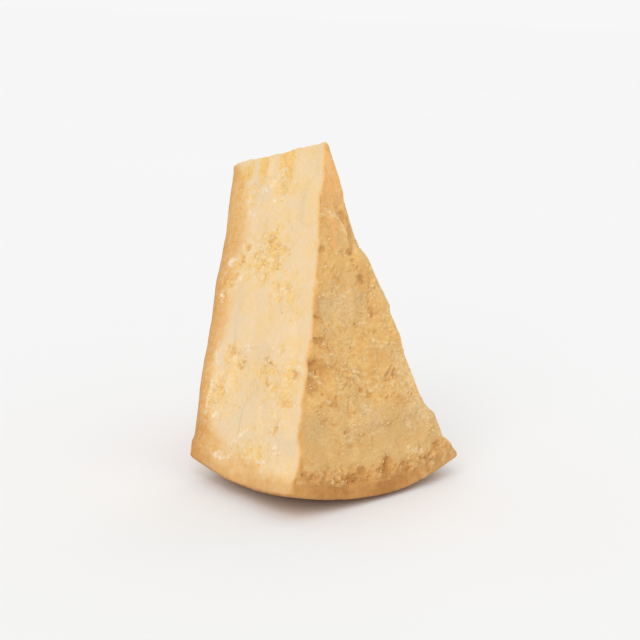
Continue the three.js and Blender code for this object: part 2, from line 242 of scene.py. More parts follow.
WAIST_ROUGH = Patches(426, 2.6, 0.8, (
    (-31, 108, 6, 4), (-25, 89, 7, 6), (10, 88, 6, 9, 10), (4, 112, 7, 5), (15, 106, 4, 8),
    (-29, 124, 11, 5, 10), (10, 125, 6, 4), (-40, 142, 9, 10), (-14, 142, 14, 7), (-2, 153, 9, 4),
    (-33, 159, 8, 4), (21, 149, 7, 8), (25, 164, 9, 4, 30), (-20, 177, 6, 5), (-1, 179, 5, 2),
    (32, 181, 7, 5), (-34, 203, 28, 5), (6, 200, 7, 7), (34, 200, 18, 7), (6, 70, 5, 6),
    (-20, 67, 3, 4),
))
WAIST_AMBER = Patches(411, 2.4, 0.9, (
    (-25, 89, 7, 6), (13, 86, 7, 9, 15), (16, 105, 4, 6), (-32, 108, 5, 3), (-29, 125, 12, 6),
    (-39, 140, 12, 10), (-43, 150, 8, 5), (20, 136, 8, 5), (24, 163, 11, 4, 25), (-63, 201, 9, 9),
    (-24, 201, 12, 5), (4, 201, 8, 6), (35, 118, 5, 10), (52, 206, 12, 6), (-10, 58, 5, 9),
    (1, 124, 4, 9), (6, 142, 4, 11),
))
WAIST_PEACH = Patches(445, 2.0, 0.9, (
    (-1, 22, 12, 22), (-5, 50, 5, 14),
))
WAIST_PALE = Patches(455, 3.0, 0.9, (
    (-12, 102, 16, 10), (-4, 172, 14, 8), (-20, 178, 8, 5),
))
WAIST_WARM = Patches(465, 3.0, 0.9, (
    (12, 128, 8, 12), (-33, 155, 8, 8), (-42, 165, 6, 5), (-46, 191, 14, 7),
))
# Brown patches of the waist face: partly the aged paste's own brown, partly painted shade in its pits and
# beside the edge of the lost flake.
WAIST_BROWN_AND_SHADE = Patches(416, 1.3, 0.6, (
    (-40, 138, 11, 6), (-45, 148, 6, 7), (-35, 122, 8, 1.4, -12), (6, 199, 4.5, 6),
    (-16, 201, 6, 3, -30), (-27, 205, 8, 3.5), (24, 148, 2.4, 3.4), (10, 87, 3, 4), (15, 106, 2.5, 3),
    (-31, 107.5, 4, 1.4), (4, 46, 4, 3, 30), (7.5, 56, 2, 7), (-55, 203, 6, 3), (-42, 206, 5, 2),
    (-20, 66.5, 3, 2), (-29, 160, 2.4, 3), (-22, 177, 2, 2.6), (6, 69, 3.4, 1.4, -40),
))
WAIST_CHALK = Patches(421, 1.2, 0.7, (
    (-41.5, 143.5, 3.6, 1.3), (-36, 147, 3, 1.2, 20), (-5, 94, 5, 1.5, -42), (-8, 90, 3, 1, -42),
    (4, 113.5, 2, 2.4, 40), (13, 125.5, 3, 2, 20), (-9, 142, 3, 3.4), (-17, 138.5, 1.4, 1.2),
    (-4, 164, 4, 4), (0, 179, 6, 1.4), (31, 180.5, 4, 4), (33, 198, 8, 2.4, 10), (3.5, 152, 1.2, 1.2),
    (-34, 158, 3, 1.6), (-42, 205, 1.4, 2.4), (46, 177, 1.6, 2.4), (-4, 44, 5, 2, 20), (25, 196, 3, 2),
))
WAIST_PITS = hollows(
    (6, 199, 3.5, 5, 1.6), (-14, 200, 4, 2.6, 1.2), (-19, 203, 4, 2, 1.5), (-27, 205, 4, 2, 1.2),
    (-57, 203.5, 3, 1.8, 1.2), (-42, 137, 5, 2.5, 1.2), (-32, 107.5, 4, 1.2, 1), (-35, 122, 6, 1, 0.9),
    (-31, 160, 2.4, 1.6, 1.2), (-28, 157, 1.6, 1.4, 1), (-31, 170.5, 3, 0.9, 1),
    (-22, 177, 1.5, 1.5, 1), (-5.5, 151, 1.2, 1.2, 1), (11, 86, 2, 2, 0.9), (12, 90, 2, 2, 0.8),
    (14.5, 109, 2, 2, 1.2), (0, 44.5, 3, 1, 0.8), (5.5, 52, 1.2, 5, 0.8), (6, 69.5, 2.6, 0.9, 1),
    (4.5, 67, 1, 1.6, 0.8), (24, 148, 1.6, 3, 1.2), (20.5, 151, 1.4, 1.4, 1), (27, 136, 1.2, 2, 0.8),
    (-20, 66.5, 2.4, 1.4, 1), (-44, 200, 1.2, 3, 0.8),
)
WAIST_NOTCHES = (
    Notch(6, 198, 6, 11, 1.6),
    Notch(-22, 203, 6, 5, 1.4),
    Notch(24, 204, 5, 5, 1.2),
)
WAIST_RIBS = Hollow(-10, 78, 10, 10, 0.4)
RIB_CENTRE = (-27, 60)
RIB_PITCH = 3.3

LEFT_RIND = ((0, 6), (34, 6), (60, 5), (110, 4.5), (160, 4), (188, 7), (215, 12))  # width at the flat rind
LEFT_GLOW = (
    (0, 10), (12, 18), (30, 23), (45, 26), (60, 25), (70, 20), (80, 15), (92, 18), (106, 18), (118, 14),
    (130, 12), (150, 9), (165, 16), (180, 25), (215, 32),
)
HEEL_GLOW = ((0, 13), (15, 14), (30, 16), (41, 19), (57, 23), (77, 28), (89, 34), (95, 37))
NEAR_RIND_HEIGHT = 6.5
SKIN_EDGE = 0.7  # how far a rind's colour reaches round its edge
LEDGE_WIDTH = 1.4  # half width of the line of crumbs under the fluted band
RIDGE_STRIP = 9.0  # width of the fair strip of the near side along the waist
RIDGE_GLOW = 5.0  # width of the amber strip of the waist face along the near side

TONES = ("torn", "amber", "brown", "dull", "chalk", "rind", "cut")

# What is scattered, and how it gathers.
CRUMBS = Bits(4, 7, 7)
CRYSTALS = Bits(3, 5, 8)
TRIALS_PER_BIT = 12
BITS_PER_CLUSTER = 5
CLUSTER_SPREAD = 0.018
RIM_LEFT_CLEAR = 0.04
LUMP_BEND = 0.22
LUMP_WAVES = 2.7
SIZE_SPREAD = 0.38  # of the sizes' logarithm
SIDE_LENGTHS = (0.6, 1.25)
WAIST_SHADE = 0.6  # how much warmer the bits on the waist face are


def heel_radius(y):
    """Wheel radius less a slope and a parabola, at y along the axle."""
    return WHEEL_RADIUS - HEEL_SLOPE * y - HEEL_BULGE * (y / CHUNK_DEPTH) ** 2


REST_Y = (math.tan(LEAN) - HEEL_SLOPE) * CHUNK_DEPTH**2 / (2 * HEEL_BULGE)
REST_RADIUS = heel_radius(REST_Y)
REST_FORWARD = REST_Y * math.cos(LEAN) - REST_RADIUS * math.sin(LEAN)
REST_RISE = REST_RADIUS * math.cos(LEAN) + REST_Y * math.sin(LEAN) - REST_DEPTH


# Fields over a face


def smoothstep(x, low, high):
    """0 below low, 1 above high and 3f^2 - 2f^3 of the fraction f between them."""
    f = held((x - low) / (high - low))
    return f * f * (3 - 2 * f)


def mixed(a, b, share):
    """a turned into b by share."""
    return a + (b - a) * share


def held(x):
    """x held between 0 and 1."""
    return np.clip(x, 0, 1)


def largest(first, *others):
    """The largest of several arrays, point by point."""
    for other in others:
        first = np.maximum(first, other)
    return first


def bell(distance, width):
    """exp(-f^2) of the fraction f of the width."""
    f = distance / width
    return np.exp(-f * f)


def lattice_value(i, j, seed):
    """A repeatable random number from -1 to 1 for each corner of a square lattice."""
    value = np.sin(i * LATTICE_U + j * LATTICE_V + seed * LATTICE_SEED) * LATTICE_SCALE
    return 2 * (value - np.floor(value)) - 1


def noise(u, v, seed):
    """Smooth noise from -1 to 1: the four nearest lattice values, blended by smoothstep."""
    i, j = np.floor(u), np.floor(v)
    fade_u, fade_v = smoothstep(u - i, 0, 1), smoothstep(v - j, 0, 1)
    low = mixed(lattice_value(i, j, seed), lattice_value(i + 1, j, seed), fade_u)
    high = mixed(lattice_value(i, j + 1, seed), lattice_value(i + 1, j + 1, seed), fade_u)
    return mixed(low, high, fade_v)


def cells_around(u, v):
    """The nine lattice cells in and around each point."""
    for step_i in (-1, 0, 1):
        for step_j in (-1, 0, 1):
            yield np.floor(u) + step_i, np.floor(v) + step_j


def plates(u, v, seed, crispness=PLATE_CRISPNESS, lean=0.0):
    """Broken plates: the mean of the nine nearest cells' tilted planes, weighted by exp(-crispness d^2).
    With a lean they all rise along v as well, and overlap like shingles."""
    heights = np.zeros_like(u)
    weights = np.zeros_like(u)
    for i, j in cells_around(u, v):
        du = u - i - 0.5 - PLATE_JITTER * lattice_value(i, j, seed)
        dv = v - j - 0.5 - PLATE_JITTER * lattice_value(i, j, seed + 1)
        weight = np.exp(-crispness * (du * du + dv * dv))
        tilt = du * lattice_value(i, j, seed + 3) + dv * (lattice_value(i, j, seed + 4) + lean)
        heights += weight * (lattice_value(i, j, seed + 2) + tilt)
        weights += weight
    return heights / weights


def grains(u, v, seed, share):
    """Separate round grains from 0 to 1: in a share of the cells, a paraboloid of random size and place."""
    height = np.zeros_like(u)
    for i, j in cells_around(u, v):
        du = u - i - 0.5 - GRAIN_JITTER * lattice_value(i, j, seed)
        dv = v - j - 0.5 - GRAIN_JITTER * lattice_value(i, j, seed + 1)
        size = GRAIN_SIZE + GRAIN_SPREAD * lattice_value(i, j, seed + 2)
        there = lattice_value(i, j, seed + 3) < 2 * share - 1
        height = np.maximum(height, there * held(1 - (du * du + dv * dv) / (size * size)))
    return height


def swell(layer, u, v, shift=0):
    """A layer's height times noise over its pitch, with its seed shifted."""
    return layer.height * noise(u / layer.pitch_u, v / layer.pitch_v, layer.seed + shift)


def breaks(layer, u, v, shift=0, crispness=PLATE_CRISPNESS):
    """A layer's height times plates over its pitch, with its seed shifted."""
    return layer.height * plates(u / layer.pitch_u, v / layer.pitch_v, layer.seed + shift, crispness)


def lumps_of(layer, share, u, v, shift=0):
    """A layer's height times grains over its pitch, in a share of the cells."""
    return layer.height * grains(u / layer.pitch_u, v / layer.pitch_v, layer.seed + shift, share)


def clouded(layer, base, u, v):
    """A base plus a layer of noise, held between 0 and 1: what thins a tone out softly."""
    return held(base + swell(layer, u, v))


def flaked(layer, base, u, v):
    """A base plus a layer of plates, held between 0 and 1: what breaks a tone up."""
    return held(base + breaks(layer, u, v))


def along(points, x):
    """Straight stretches through (x, value) points."""
    xs, values = zip(*points)
    return np.interp(x, xs, values)


def hollow_depth(places, u, v):
    """The sum of upturned paraboloids, each depth times 1 - d^2 inside its ellipse."""
    depth = np.zeros_like(u)
    for hollow in places:
        du = (u - hollow.u) / hollow.reach_u
        dv = (v - hollow.v) / hollow.reach_v
        depth += hollow.depth * np.clip(1 - du * du - dv * dv, 0, None)
    return depth


def notch_depth(notches, u, v):
    """Triangular pits, deepest on their middle line and open towards the heel."""
    depth = np.zeros_like(u)
    for notch in notches:
        down = (v - notch.v) / notch.height + 0.5
        half = 0.5 * notch.width * np.clip(down, 0.05, 1)
        inside = held(1 - np.abs(u - notch.u) / half) * (down > 0) * (down < 1)
        depth += notch.depth * np.sqrt(inside)
    return depth


def warped(u, v, seed, reach):
    """The same places pushed about by coarse and fine noise, so that outlines come out torn."""
    push_u = swell(PUSH_COARSE, u, v, seed) + swell(PUSH_FINE, u, v, seed)
    push_v = swell(PUSH_COARSE, u, v, seed + 2) + swell(PUSH_FINE, u, v, seed + 2)
    return u + reach * push_u, v + reach * push_v


def patch_share(patches, u, v):
    """1 inside the patches and 0 outside: 1 - d^2 in warped places, made ragged, put through smoothstep."""
    bent_u, bent_v = warped(u, v, patches.seed, patches.stray)
    field = np.full_like(u, OFF_ALL_PATCHES)
    for place in patches.places:
        patch = Patch(*place)
        turn = math.radians(patch.turn)
        cos, sin = math.cos(turn), math.sin(turn)
        du = (cos * (bent_u - patch.u) + sin * (bent_v - patch.v)) / patch.reach_u
        dv = (cos * (bent_v - patch.v) - sin * (bent_u - patch.u)) / patch.reach_v
        field = np.maximum(field, 1 - du * du - dv * dv)
    field = field + swell(PATCH_RAGGED, u, v, patches.seed) - PATCH_SHRINK
    return smoothstep(field, -patches.softness, patches.softness)


# The six faces of the solid: each function gives the relief in millimetres, outwards.


def band_span(y):
    """1 where the fluted band runs and 0 beside it, at y from the waist."""
    return smoothstep(y, TIP_BAND_START, TIP_BAND_FULL) * (1 - smoothstep(y, TIP_BAND_FADE, TIP_BAND_LAST))


def tip_band_end(y):
    """Where the fluted band ends, as a distance from the tip, at y from the waist."""
    ragged = swell(TIP_BAND_RAGGED, y, np.full_like(y, TIP_BAND_RAGGED.pitch_v / 2))
    return TIP_BAND_LENGTH + TIP_BAND_SLANT * (y - TIP_BAND_START) + ragged


def flute_wave(r, y):
    """The flutes as a wandering sine from 0 to 1."""
    return 0.5 + 0.5 * np.sin(2 * math.pi * y / FLUTE_PITCH + swell(FLUTE_WANDER, r, y))


def tip_band_share(r, y):
    """1 on the fluted band and 0 off it."""
    end = tip_band_end(y)
    above = 1 - smoothstep(r, end - TIP_BAND_STEP, end + TIP_BAND_STEP)
    return band_span(y) * above


def near_relief(r, y):
    """The near side: the fluted band, less the hollows, plus noise and plates."""
    band = tip_band_share(r, y) * (TIP_BAND_HEIGHT + FLUTE_HEIGHT * flute_wave(r, y))
    rough = swell(NEAR_SWELL, r, y) + breaks(NEAR_PLATES, r, y) * smoothstep(y, 0, NEAR_CALM)
    return band - hollow_depth(NEAR_HOLLOWS, r, y) + rough


def far_relief(r, y):
    """The far side: its outline at the waist, fading along the axle, less the hollows, plus the rough."""
    outline = along(FAR_EDGE, r) + RIBBON_SHOW * RIBBON_FALL * along(RIBBON, r)
    lost = hollow_depth(FAR_HOLLOWS, r, y) * smoothstep(y, 0, 2 * FAR_CALM_WAIST)
    rough = swell(FAR_SWELL, r, y) + breaks(FAR_PLATES, r, y)
    inside = smoothstep(y, 0, FAR_CALM_WAIST) * smoothstep(r, 0, FAR_CALM_TIP)
    return outline * np.exp(-y / FAR_EDGE_REACH) - lost + rough * inside


def flake_fall(x, r):
    """1 where a flake has broken off the waist face, beyond a bent edge, and 0 on the flake that stayed."""
    gone = smoothstep(x - along(FLAKE_EDGE, r), -FLAKE_HALF_STEP, FLAKE_HALF_STEP)
    start = FLAKE_EDGE[0][0]
    ending = smoothstep(r, FLAKE_END - FLAKE_FADE, FLAKE_END)
    return gone * smoothstep(r, start - FLAKE_FADE, start) * (1 - ending)


def rind_band_start(x, r):
    """Where the rind band of the waist face begins, with a ragged line."""
    return WHEEL_RADIUS - RIND_BAND_HEIGHT - swell(RIND_BAND_RAGGED, x, r)


def waist_relief(x, r, gap):
    """The waist face: the paste stands a step above the rind band, less the hollows and the lost flake, and
    a ribbon falls to the far edge."""
    start = rind_band_start(x, r)
    paste = 1 - smoothstep(r, start - RIND_BAND_HALF_STEP, start + RIND_BAND_HALF_STEP)
    rough = swell(WAIST_SWELL, x, r) + breaks(WAIST_PLATES, x, r) * smoothstep(gap, 0, WAIST_CALM)
    ribbon = RIBBON_FALL * np.clip(along(RIBBON, r) - gap, 0, None)
    lost = hollow_depth(WAIST_HOLLOWS, x, r) + FLAKE_STEP * flake_fall(x, r)
    return (RIND_BAND_STEP + rough - lost) * paste - ribbon


def heel_relief(x, y):
    """The heel: low waves, and a stray from the wheel's arc that fades from the waist face on."""
    return swell(HEEL_SWELL, x, y) + along(HEEL_EDGE, x) * np.exp(-y / HEEL_EDGE_REACH)


def tip_relief(x, y):
    """The tip: low waves, less its hollow."""
    return swell(TIP_SWELL, x, y) - hollow_depth(TIP_HOLLOWS, x, y)


def edge_wear(*distances):
    """The sum over the edges of wear times exp(-distance / wear)."""
    return sum(EDGE_WEAR * np.exp(-distance / EDGE_WEAR) for distance in distances)


def plain_wedge(s, t, w):
    """Rays from the tip line to the heel: a mix by t of a short line and an arc of the heel's radius."""
    y = w * CHUNK_DEPTH
    angle = mixed(NEAR_ANGLE, FAR_ANGLE, s)
    heel = heel_radius(y)
    flare = CORNER_FLARE * w * (1 - s)
    heel_x = heel * np.sin(angle) - flare * math.cos(NEAR_ANGLE)
    heel_z = -heel * np.cos(angle) - flare * math.sin(NEAR_ANGLE)
    x = mixed(FLAT_TIP_SIDE * w + TIP_SIDE + TIP_WIDTH * (s - 0.5), heel_x, t)
    z = mixed(TIP_LIFT + FLAT_TIP_LIFT * w, heel_z, t)
    r = t * heel
    width = TIP_WIDTH + r * WEDGE_ANGLE
    sizes = (r, r * np.sin(angle), s * width, (1 - s) * width, CHUNK_DEPTH - y, heel - r)
    return Wedge(x, y, z, angle, *sizes)


def solid_reliefs(p):
    """Each face's relief, worn at its edges and faded round them by exp(-distance / reach)."""
    side_wear = edge_wear(p.y, p.flat, p.heel, p.r)
    end_wear = edge_wear(p.near, p.far, p.heel, p.r)
    rim_wear = edge_wear(p.near, p.far, p.y, p.flat)
    return {
        "near": (near_relief(p.r, p.y) - side_wear) * np.exp(-p.near / RELIEF_REACH),
        "far": (far_relief(p.r, p.y) - side_wear) * np.exp(-p.far / RELIEF_REACH),
        "waist": (waist_relief(p.across, p.r, p.far) - end_wear) * np.exp(-p.y / RELIEF_REACH),
        "flat": (swell(FLAT_SWELL, p.across, p.r) - end_wear) * np.exp(-p.flat / RELIEF_REACH),
        "heel": (heel_relief(p.across, p.y) - rim_wear) * np.exp(-p.heel / RELIEF_REACH),
        "tip": (tip_relief(p.across, p.y) - rim_wear) * np.exp(-p.r / RELIEF_REACH),
    }


# The finer breaks and the colouring of each face. Each function gives the height in millimetres, the
# relief, which is the part of it that shows as pits and grains and that the material paints as shade where
# it is low and as highlight where it is high, and the shares of the tones.

SIDE_RIPPLES = Layer(0.13, 16, 7, 0)
SIDE_WRINKLES = Layer(0.05, 3.4, 2.2, 1)
SIDE_GRAIN = Layer(1, 2.8, 2.2, 2)
SIDE_LUMPS = Layer(0.5, 2.5, 3.5, 4)
SIDE_SMALL_LUMPS = Layer(0.36, 1.4, 1.9, 5)
SIDE_PITS = Layer(0.75, 2.3, 3.6, 6)
BORDER_WAVES = Layer(2.2, 9, 9, 1)
BORDER_TEETH = Layer(1.2, 3.5, 3.5, 2)
SKIN_WAVES = Layer(0.12, 9, 7, 0)
SKIN_SCRAPES = Layer(0.07, 22, 1.3, 1)

STRIP_WANDER = Layer(2.5, 11, 30, 209)
RIM_BREAKS = Layer(1, 2.4, 3.8, 237)
FAINT_CLOUDS = Layer(0.4, 5, 3.5, 204)
FAINT_SPECKS = Layer(0.4, 2.2, 1.5, 207)
CHALK_BREAKS = Layer(0.9, 2.2, 3.2, 243)
TORN_BREAKS = Layer(0.6, 2.8, 4.2, 236)
SCUFF_BREAKS = Layer(1, 3.0, 4.6, 241)
WHITE_BREAKS = Layer(2, 2.6, 4.2, 242)
LEDGE_BREAKS = Layer(1, 2.4, 2.9, 232)
GLOW_STREAKS = Layer(0.25, 1.6, 7, 234)
GLOW_SPECKS = Layer(0.15, 2.5, 2.5, 235)

FAR_CLOUDS = Layer(1, 26, 20, 301)
FAR_PUFFS = Layer(0.5, 10, 8, 303)
FAR_TORN = Layer(0.4, 5, 4, 302)
FAR_FLECKS = Layer(1, 4.2, 2.6, 306)
FAR_CHALK = Layer(1, 3.4, 2.6, 305)
FAR_SLABS = Layer(0.5, 12, 9, 307)

ROUGH_CLOUDS = Layer(1, 8, 5, 406)
WAIST_WAVES = Layer(4, 12, 30, 446)
RIB_GAPS = Layer(0.8, 3.5, 3.5, 447)
WAIST_LUMPS = Layer(0.34, 2.7, 2.0, 433)
WAIST_SMALL_LUMPS = Layer(0.3, 1.6, 1.3, 434)
WAIST_CREVICES = Layer(0.9, 3.6, 2.2, 436)
FRINGE_WAVES = Layer(2.5, 7, 7, 441)
FRINGE_TEETH = Layer(1.5, 2.5, 2.5, 442)
FRINGE_CHALK = Layer(1, 3, 2.2, 451)
LINE_GAPS = Layer(0.8, 6, 6, 443)
NOTCH_BREAKS = Layer(1.2, 4.2, 5.5, 437)
RIDGE_WANDER = Layer(1.8, 8, 8, 438)
PALE_WANDER = Layer(4, 9, 9, 448)
FACET_CLOUDS = Layer(0.4, 3, 3, 440)
LOW_WANDER = Layer(8, 14, 14, 449)
RIND_WAVES = Layer(0.1, 5, 2, 439)

# Where a tone of the near side sets in and where it is full, as distances from the tip.
LOWER_HALF = (100, 120)
RIPER = (40, 58)
RIPEST = (150, 174)
HEEL_CORNER = (155, 182)


def tones_of(height, relief, **shares):
    """A face's height, relief and tones, with nothing for each tone that isn't named."""
    tones = {tone: shares.get(tone, np.zeros_like(height)) for tone in TONES}
    return tones | {"height": height, "relief": relief}


def crags(u, v, seed, big, middle, small, lean=0.0):
    """Three sizes of plates, each with its height."""
    height = big * plates(u / CRAG_BIG, v / CRAG_BIG, seed, FINE_CRISPNESS, lean)
    height += middle * plates(u / CRAG_MIDDLE, v / CRAG_MIDDLE, seed + 10, FINE_CRISPNESS, lean)
    return height + small * plates(u / CRAG_SMALL, v / CRAG_SMALL, seed + 20)


def border_wander(r, y, seed):
    """How far the borders of rind and amber stray, in millimetres."""
    return swell(BORDER_WAVES, r, y, seed) + swell(BORDER_TEETH, r, y, seed)


def split_side(r, y, seed, torn):
    """A split side: faintly rippled where smooth, and lumpy and pitted where torn. Gives its height and
    relief."""
    bent_r, bent_y = warped(r, y, seed + 30, 1.5)
    ripples = breaks(SIDE_RIPPLES, r + y, r - y, seed) + swell(SIDE_WRINKLES, r, y, seed)
    grain = lumps_of(SIDE_GRAIN, 0.06, r, y, seed)
    lumps = lumps_of(SIDE_LUMPS, 0.55, bent_r, bent_y, seed)
    lumps += lumps_of(SIDE_SMALL_LUMPS, 0.6, bent_r, bent_y, seed)
    rough = crags(bent_r, bent_y / 1.5, seed + 3, 0.3, 0.34, 0.2) + lumps - 0.4
    rough -= lumps_of(SIDE_PITS, 0.22, bent_r, bent_y, seed)
    return ripples + 0.12 * grain + torn * (rough - 0.15), torn * rough + 0.15 * grain


def near_fine(p):
    """The near side: torn and chalky patches, amber along the rinds, streaks and crumbs under the tip."""
    r, y = p.r, p.y
    off_band = 1 - tip_band_share(r, y)
    lower = smoothstep(r, *LOWER_HALF)
    strip = 1 - smoothstep(y + swell(STRIP_WANDER, r, y), RIDGE_STRIP - 3, RIDGE_STRIP + 1)
    torn = patch_share(NEAR_TORN, r, y) * (1 - 0.5 * strip) * off_band
    rim = 4 * torn * (1 - torn) * flaked(RIM_BREAKS, 0.3, r, y)
    faint = patch_share(NEAR_FAINT, r, y) * off_band
    faint *= held(0.45 + swell(FAINT_CLOUDS, r, y) + swell(FAINT_SPECKS, r, y))
    deep = patch_share(NEAR_DEEP, r, y)
    dull = patch_share(NEAR_DULL, r, y)
    chalk = patch_share(NEAR_CHALK, r, y) * flaked(CHALK_BREAKS, 0.6, r, y)
    scuffed = patch_share(NEAR_SCUFFED, r, y) * (1 - dull) * off_band
    height, relief = split_side(r, y, 210, largest(torn, 0.7 * faint, 0.35 * scuffed))
    torn *= mixed(1.0, 0.52, lower) * flaked(TORN_BREAKS, 0.8, r, y)
    torn = np.maximum(torn, mixed(0.55, 0.42, lower) * scuffed * flaked(SCUFF_BREAKS, 0.4, r, y))
    white = scuffed * flaked(WHITE_BREAKS, -0.8, r, y)
    streaks = patch_share(TIP_STREAKS, r, y)
    ledge = bell(r - tip_band_end(y), LEDGE_WIDTH) * band_span(y)
    ledge_crumbs = ledge * flaked(LEDGE_BREAKS, 0.1, r, y)

    wander = border_wander(r, y, 220)
    rind_width, glow_width, heel_glow = along(LEFT_RIND, r), along(LEFT_GLOW, r), along(HEEL_GLOW, y)
    left = 1 - smoothstep(p.flat + 0.4 * wander, rind_width - 1.5, rind_width + 0.6)
    foot = 1 - smoothstep(p.heel + 0.5 * wander, NEAR_RIND_HEIGHT - 3, NEAR_RIND_HEIGHT + 3)
    left_glow = 1 - smoothstep(p.flat + 0.9 * wander, 0.5 * glow_width, 1.35 * glow_width)
    foot_glow = 1 - smoothstep(p.heel + 1.4 * wander, 0.5 * heel_glow, 1.1 * heel_glow)
    ripples = 0.85 + swell(GLOW_STREAKS, r, y) + swell(GLOW_SPECKS, r, y)
    glow = held(np.maximum(left_glow, 0.88 * foot_glow) * ripples)
    ripe = (1 - smoothstep(p.flat + wander, 0.2 * glow_width, glow_width)) * (1 - chalk)
    ripeness = 0.2 + 0.3 * smoothstep(r, *RIPER) + 0.5 * smoothstep(r, *RIPEST)
    skin_edge = np.exp(-np.minimum(p.flat, p.heel) / SKIN_EDGE)
    rind = mixed(0.2, 0.6, smoothstep(r, *HEEL_CORNER)) * left + 0.3 * foot + skin_edge
    fair = 1 - 0.6 * np.maximum(left, foot)
    chalk_crags = 0.7 * chalk * crags(r, y, 231, 0.3, 0.6, 0.5)
    return tones_of(
        height * fair + chalk_crags + 0.4 * ledge_crumbs - 0.25 * deep,
        relief * fair + 0.5 * ledge_crumbs - 0.15 * deep,
        torn=largest(torn, faint, streaks) * (1 - 0.5 * dull),
        amber=largest(glow * (1 - chalk), 0.4 * deep, 0.2 * streaks),
        brown=ripeness * ripe,
        dull=dull * (1 - glow),
        chalk=largest(chalk, ledge_crumbs, 0.6 * np.maximum(rim, white)),
        rind=held(rind),
    )


def far_fine(p):
    """The far side: broken all over, half of it torn, with amber along the rinds."""
    r, y = p.r, p.y
    spread = swell(FAR_CLOUDS, r, y) + swell(FAR_PUFFS, r, y)
    scuffed = smoothstep(spread, -0.6, 0.3)
    torn = 0.8 * smoothstep(spread + breaks(FAR_TORN, r, y), 0.1, 0.9)
    chalk = 0.7 * smoothstep(breaks(FAR_CHALK, r, y), 0.45, 0.9) * scuffed
    height, relief = split_side(r, y, 310, np.maximum(torn, 0.5 * scuffed))
    height += breaks(FAR_SLABS, r, y, crispness=FINE_CRISPNESS)
    torn = np.maximum(torn, 0.5 * scuffed * flaked(FAR_FLECKS, 0.3, r, y))
    wander = border_wander(r, y, 320)
    border = np.minimum(p.flat, p.heel)
    edge = 1 - smoothstep(border + 0.5 * wander, 3, 6)
    fair = 1 - 0.6 * edge
    return tones_of(
        height * fair,
        relief * fair,
        torn=torn,
        amber=1 - smoothstep(border + 1.5 * wander, 4, 17),
        chalk=chalk,
        rind=held(0.35 * edge + np.exp(-border / SKIN_EDGE)),
    )


def waist_texture(x, r, bent_x, bent_r, rough):
    """The waist cut's flakes, lumps, crevices and shell-like ribs."""
    wave_r = bent_r + swell(WAIST_WAVES, x, r)
    ribs = hollow_depth([WAIST_RIBS], x, r)
    ribs *= np.sin(2 * math.pi * np.hypot(bent_x - RIB_CENTRE[0], bent_r - RIB_CENTRE[1]) / RIB_PITCH)
    ribs *= clouded(RIB_GAPS, 0.6, x, r)
    flakes = crags(bent_x / 1.4, wave_r, 430, 0.34, 0.32, 0.2, lean=0.7) * (0.3 + 0.7 * rough)
    lumps = lumps_of(WAIST_LUMPS, 0.5, bent_x, wave_r) + lumps_of(WAIST_SMALL_LUMPS, 0.5, bent_x, wave_r)
    crevices = lumps_of(WAIST_CREVICES, 0.2, bent_x, wave_r) * (0.15 + 0.85 * rough)
    return flakes + lumps * rough - crevices - 0.2 * rough + ribs


def waist_chalk(p, x, r):
    """The pale parts of the waist cut: its far side, and painted highlight on a facet along the ribbon and on
    the lost flake's rim.
    """
    # Painted highlight along the crest where the ribbon starts to fall.
    ribbon = bell(p.far - along(RIBBON, r), 1.3) * smoothstep(r, 48, 62) * (1 - smoothstep(r, 124, 136))
    # Painted highlight along the raised edge of the flake that stayed.
    rim = bell(x - along(FLAKE_EDGE, r) + 1.4, 1.1) * smoothstep(r, 40, 43) * (1 - smoothstep(r, 60, 66))
    edge = 0.3 * (1 - smoothstep(p.far, 1, 7)) * smoothstep(r, 50, 80)
    side = 1 - smoothstep(p.far + swell(PALE_WANDER, x, r), 12, 34)
    side = 0.5 * (side * (1 - smoothstep(r, 178, 192))) * smoothstep(r, 125, 150)
    patches = largest(0.75 * patch_share(WAIST_CHALK, x, r), edge, 0.4 * patch_share(WAIST_PALE, x, r), side)
    return patches, 0.4 * rim, 0.4 * ribbon * (0.6 + swell(FACET_CLOUDS, x, r))


def waist_warmth(p, x, r):
    """The amber of the waist cut: its ridge along the near side and its warm patches, less the peach tip."""
    full = RIDGE_GLOW + mixed(5.0, 1.5, smoothstep(r, 105, 130))
    ridge = 1 - smoothstep(p.near + swell(RIDGE_WANDER, x, r), RIDGE_GLOW - 3, full)
    amber = 0.85 * patch_share(WAIST_AMBER, x, r)
    warm = 0.4 * patch_share(WAIST_WARM, x, r)
    return largest(mixed(0.85, 0.7, smoothstep(r, 105, 125)) * ridge, amber, warm)


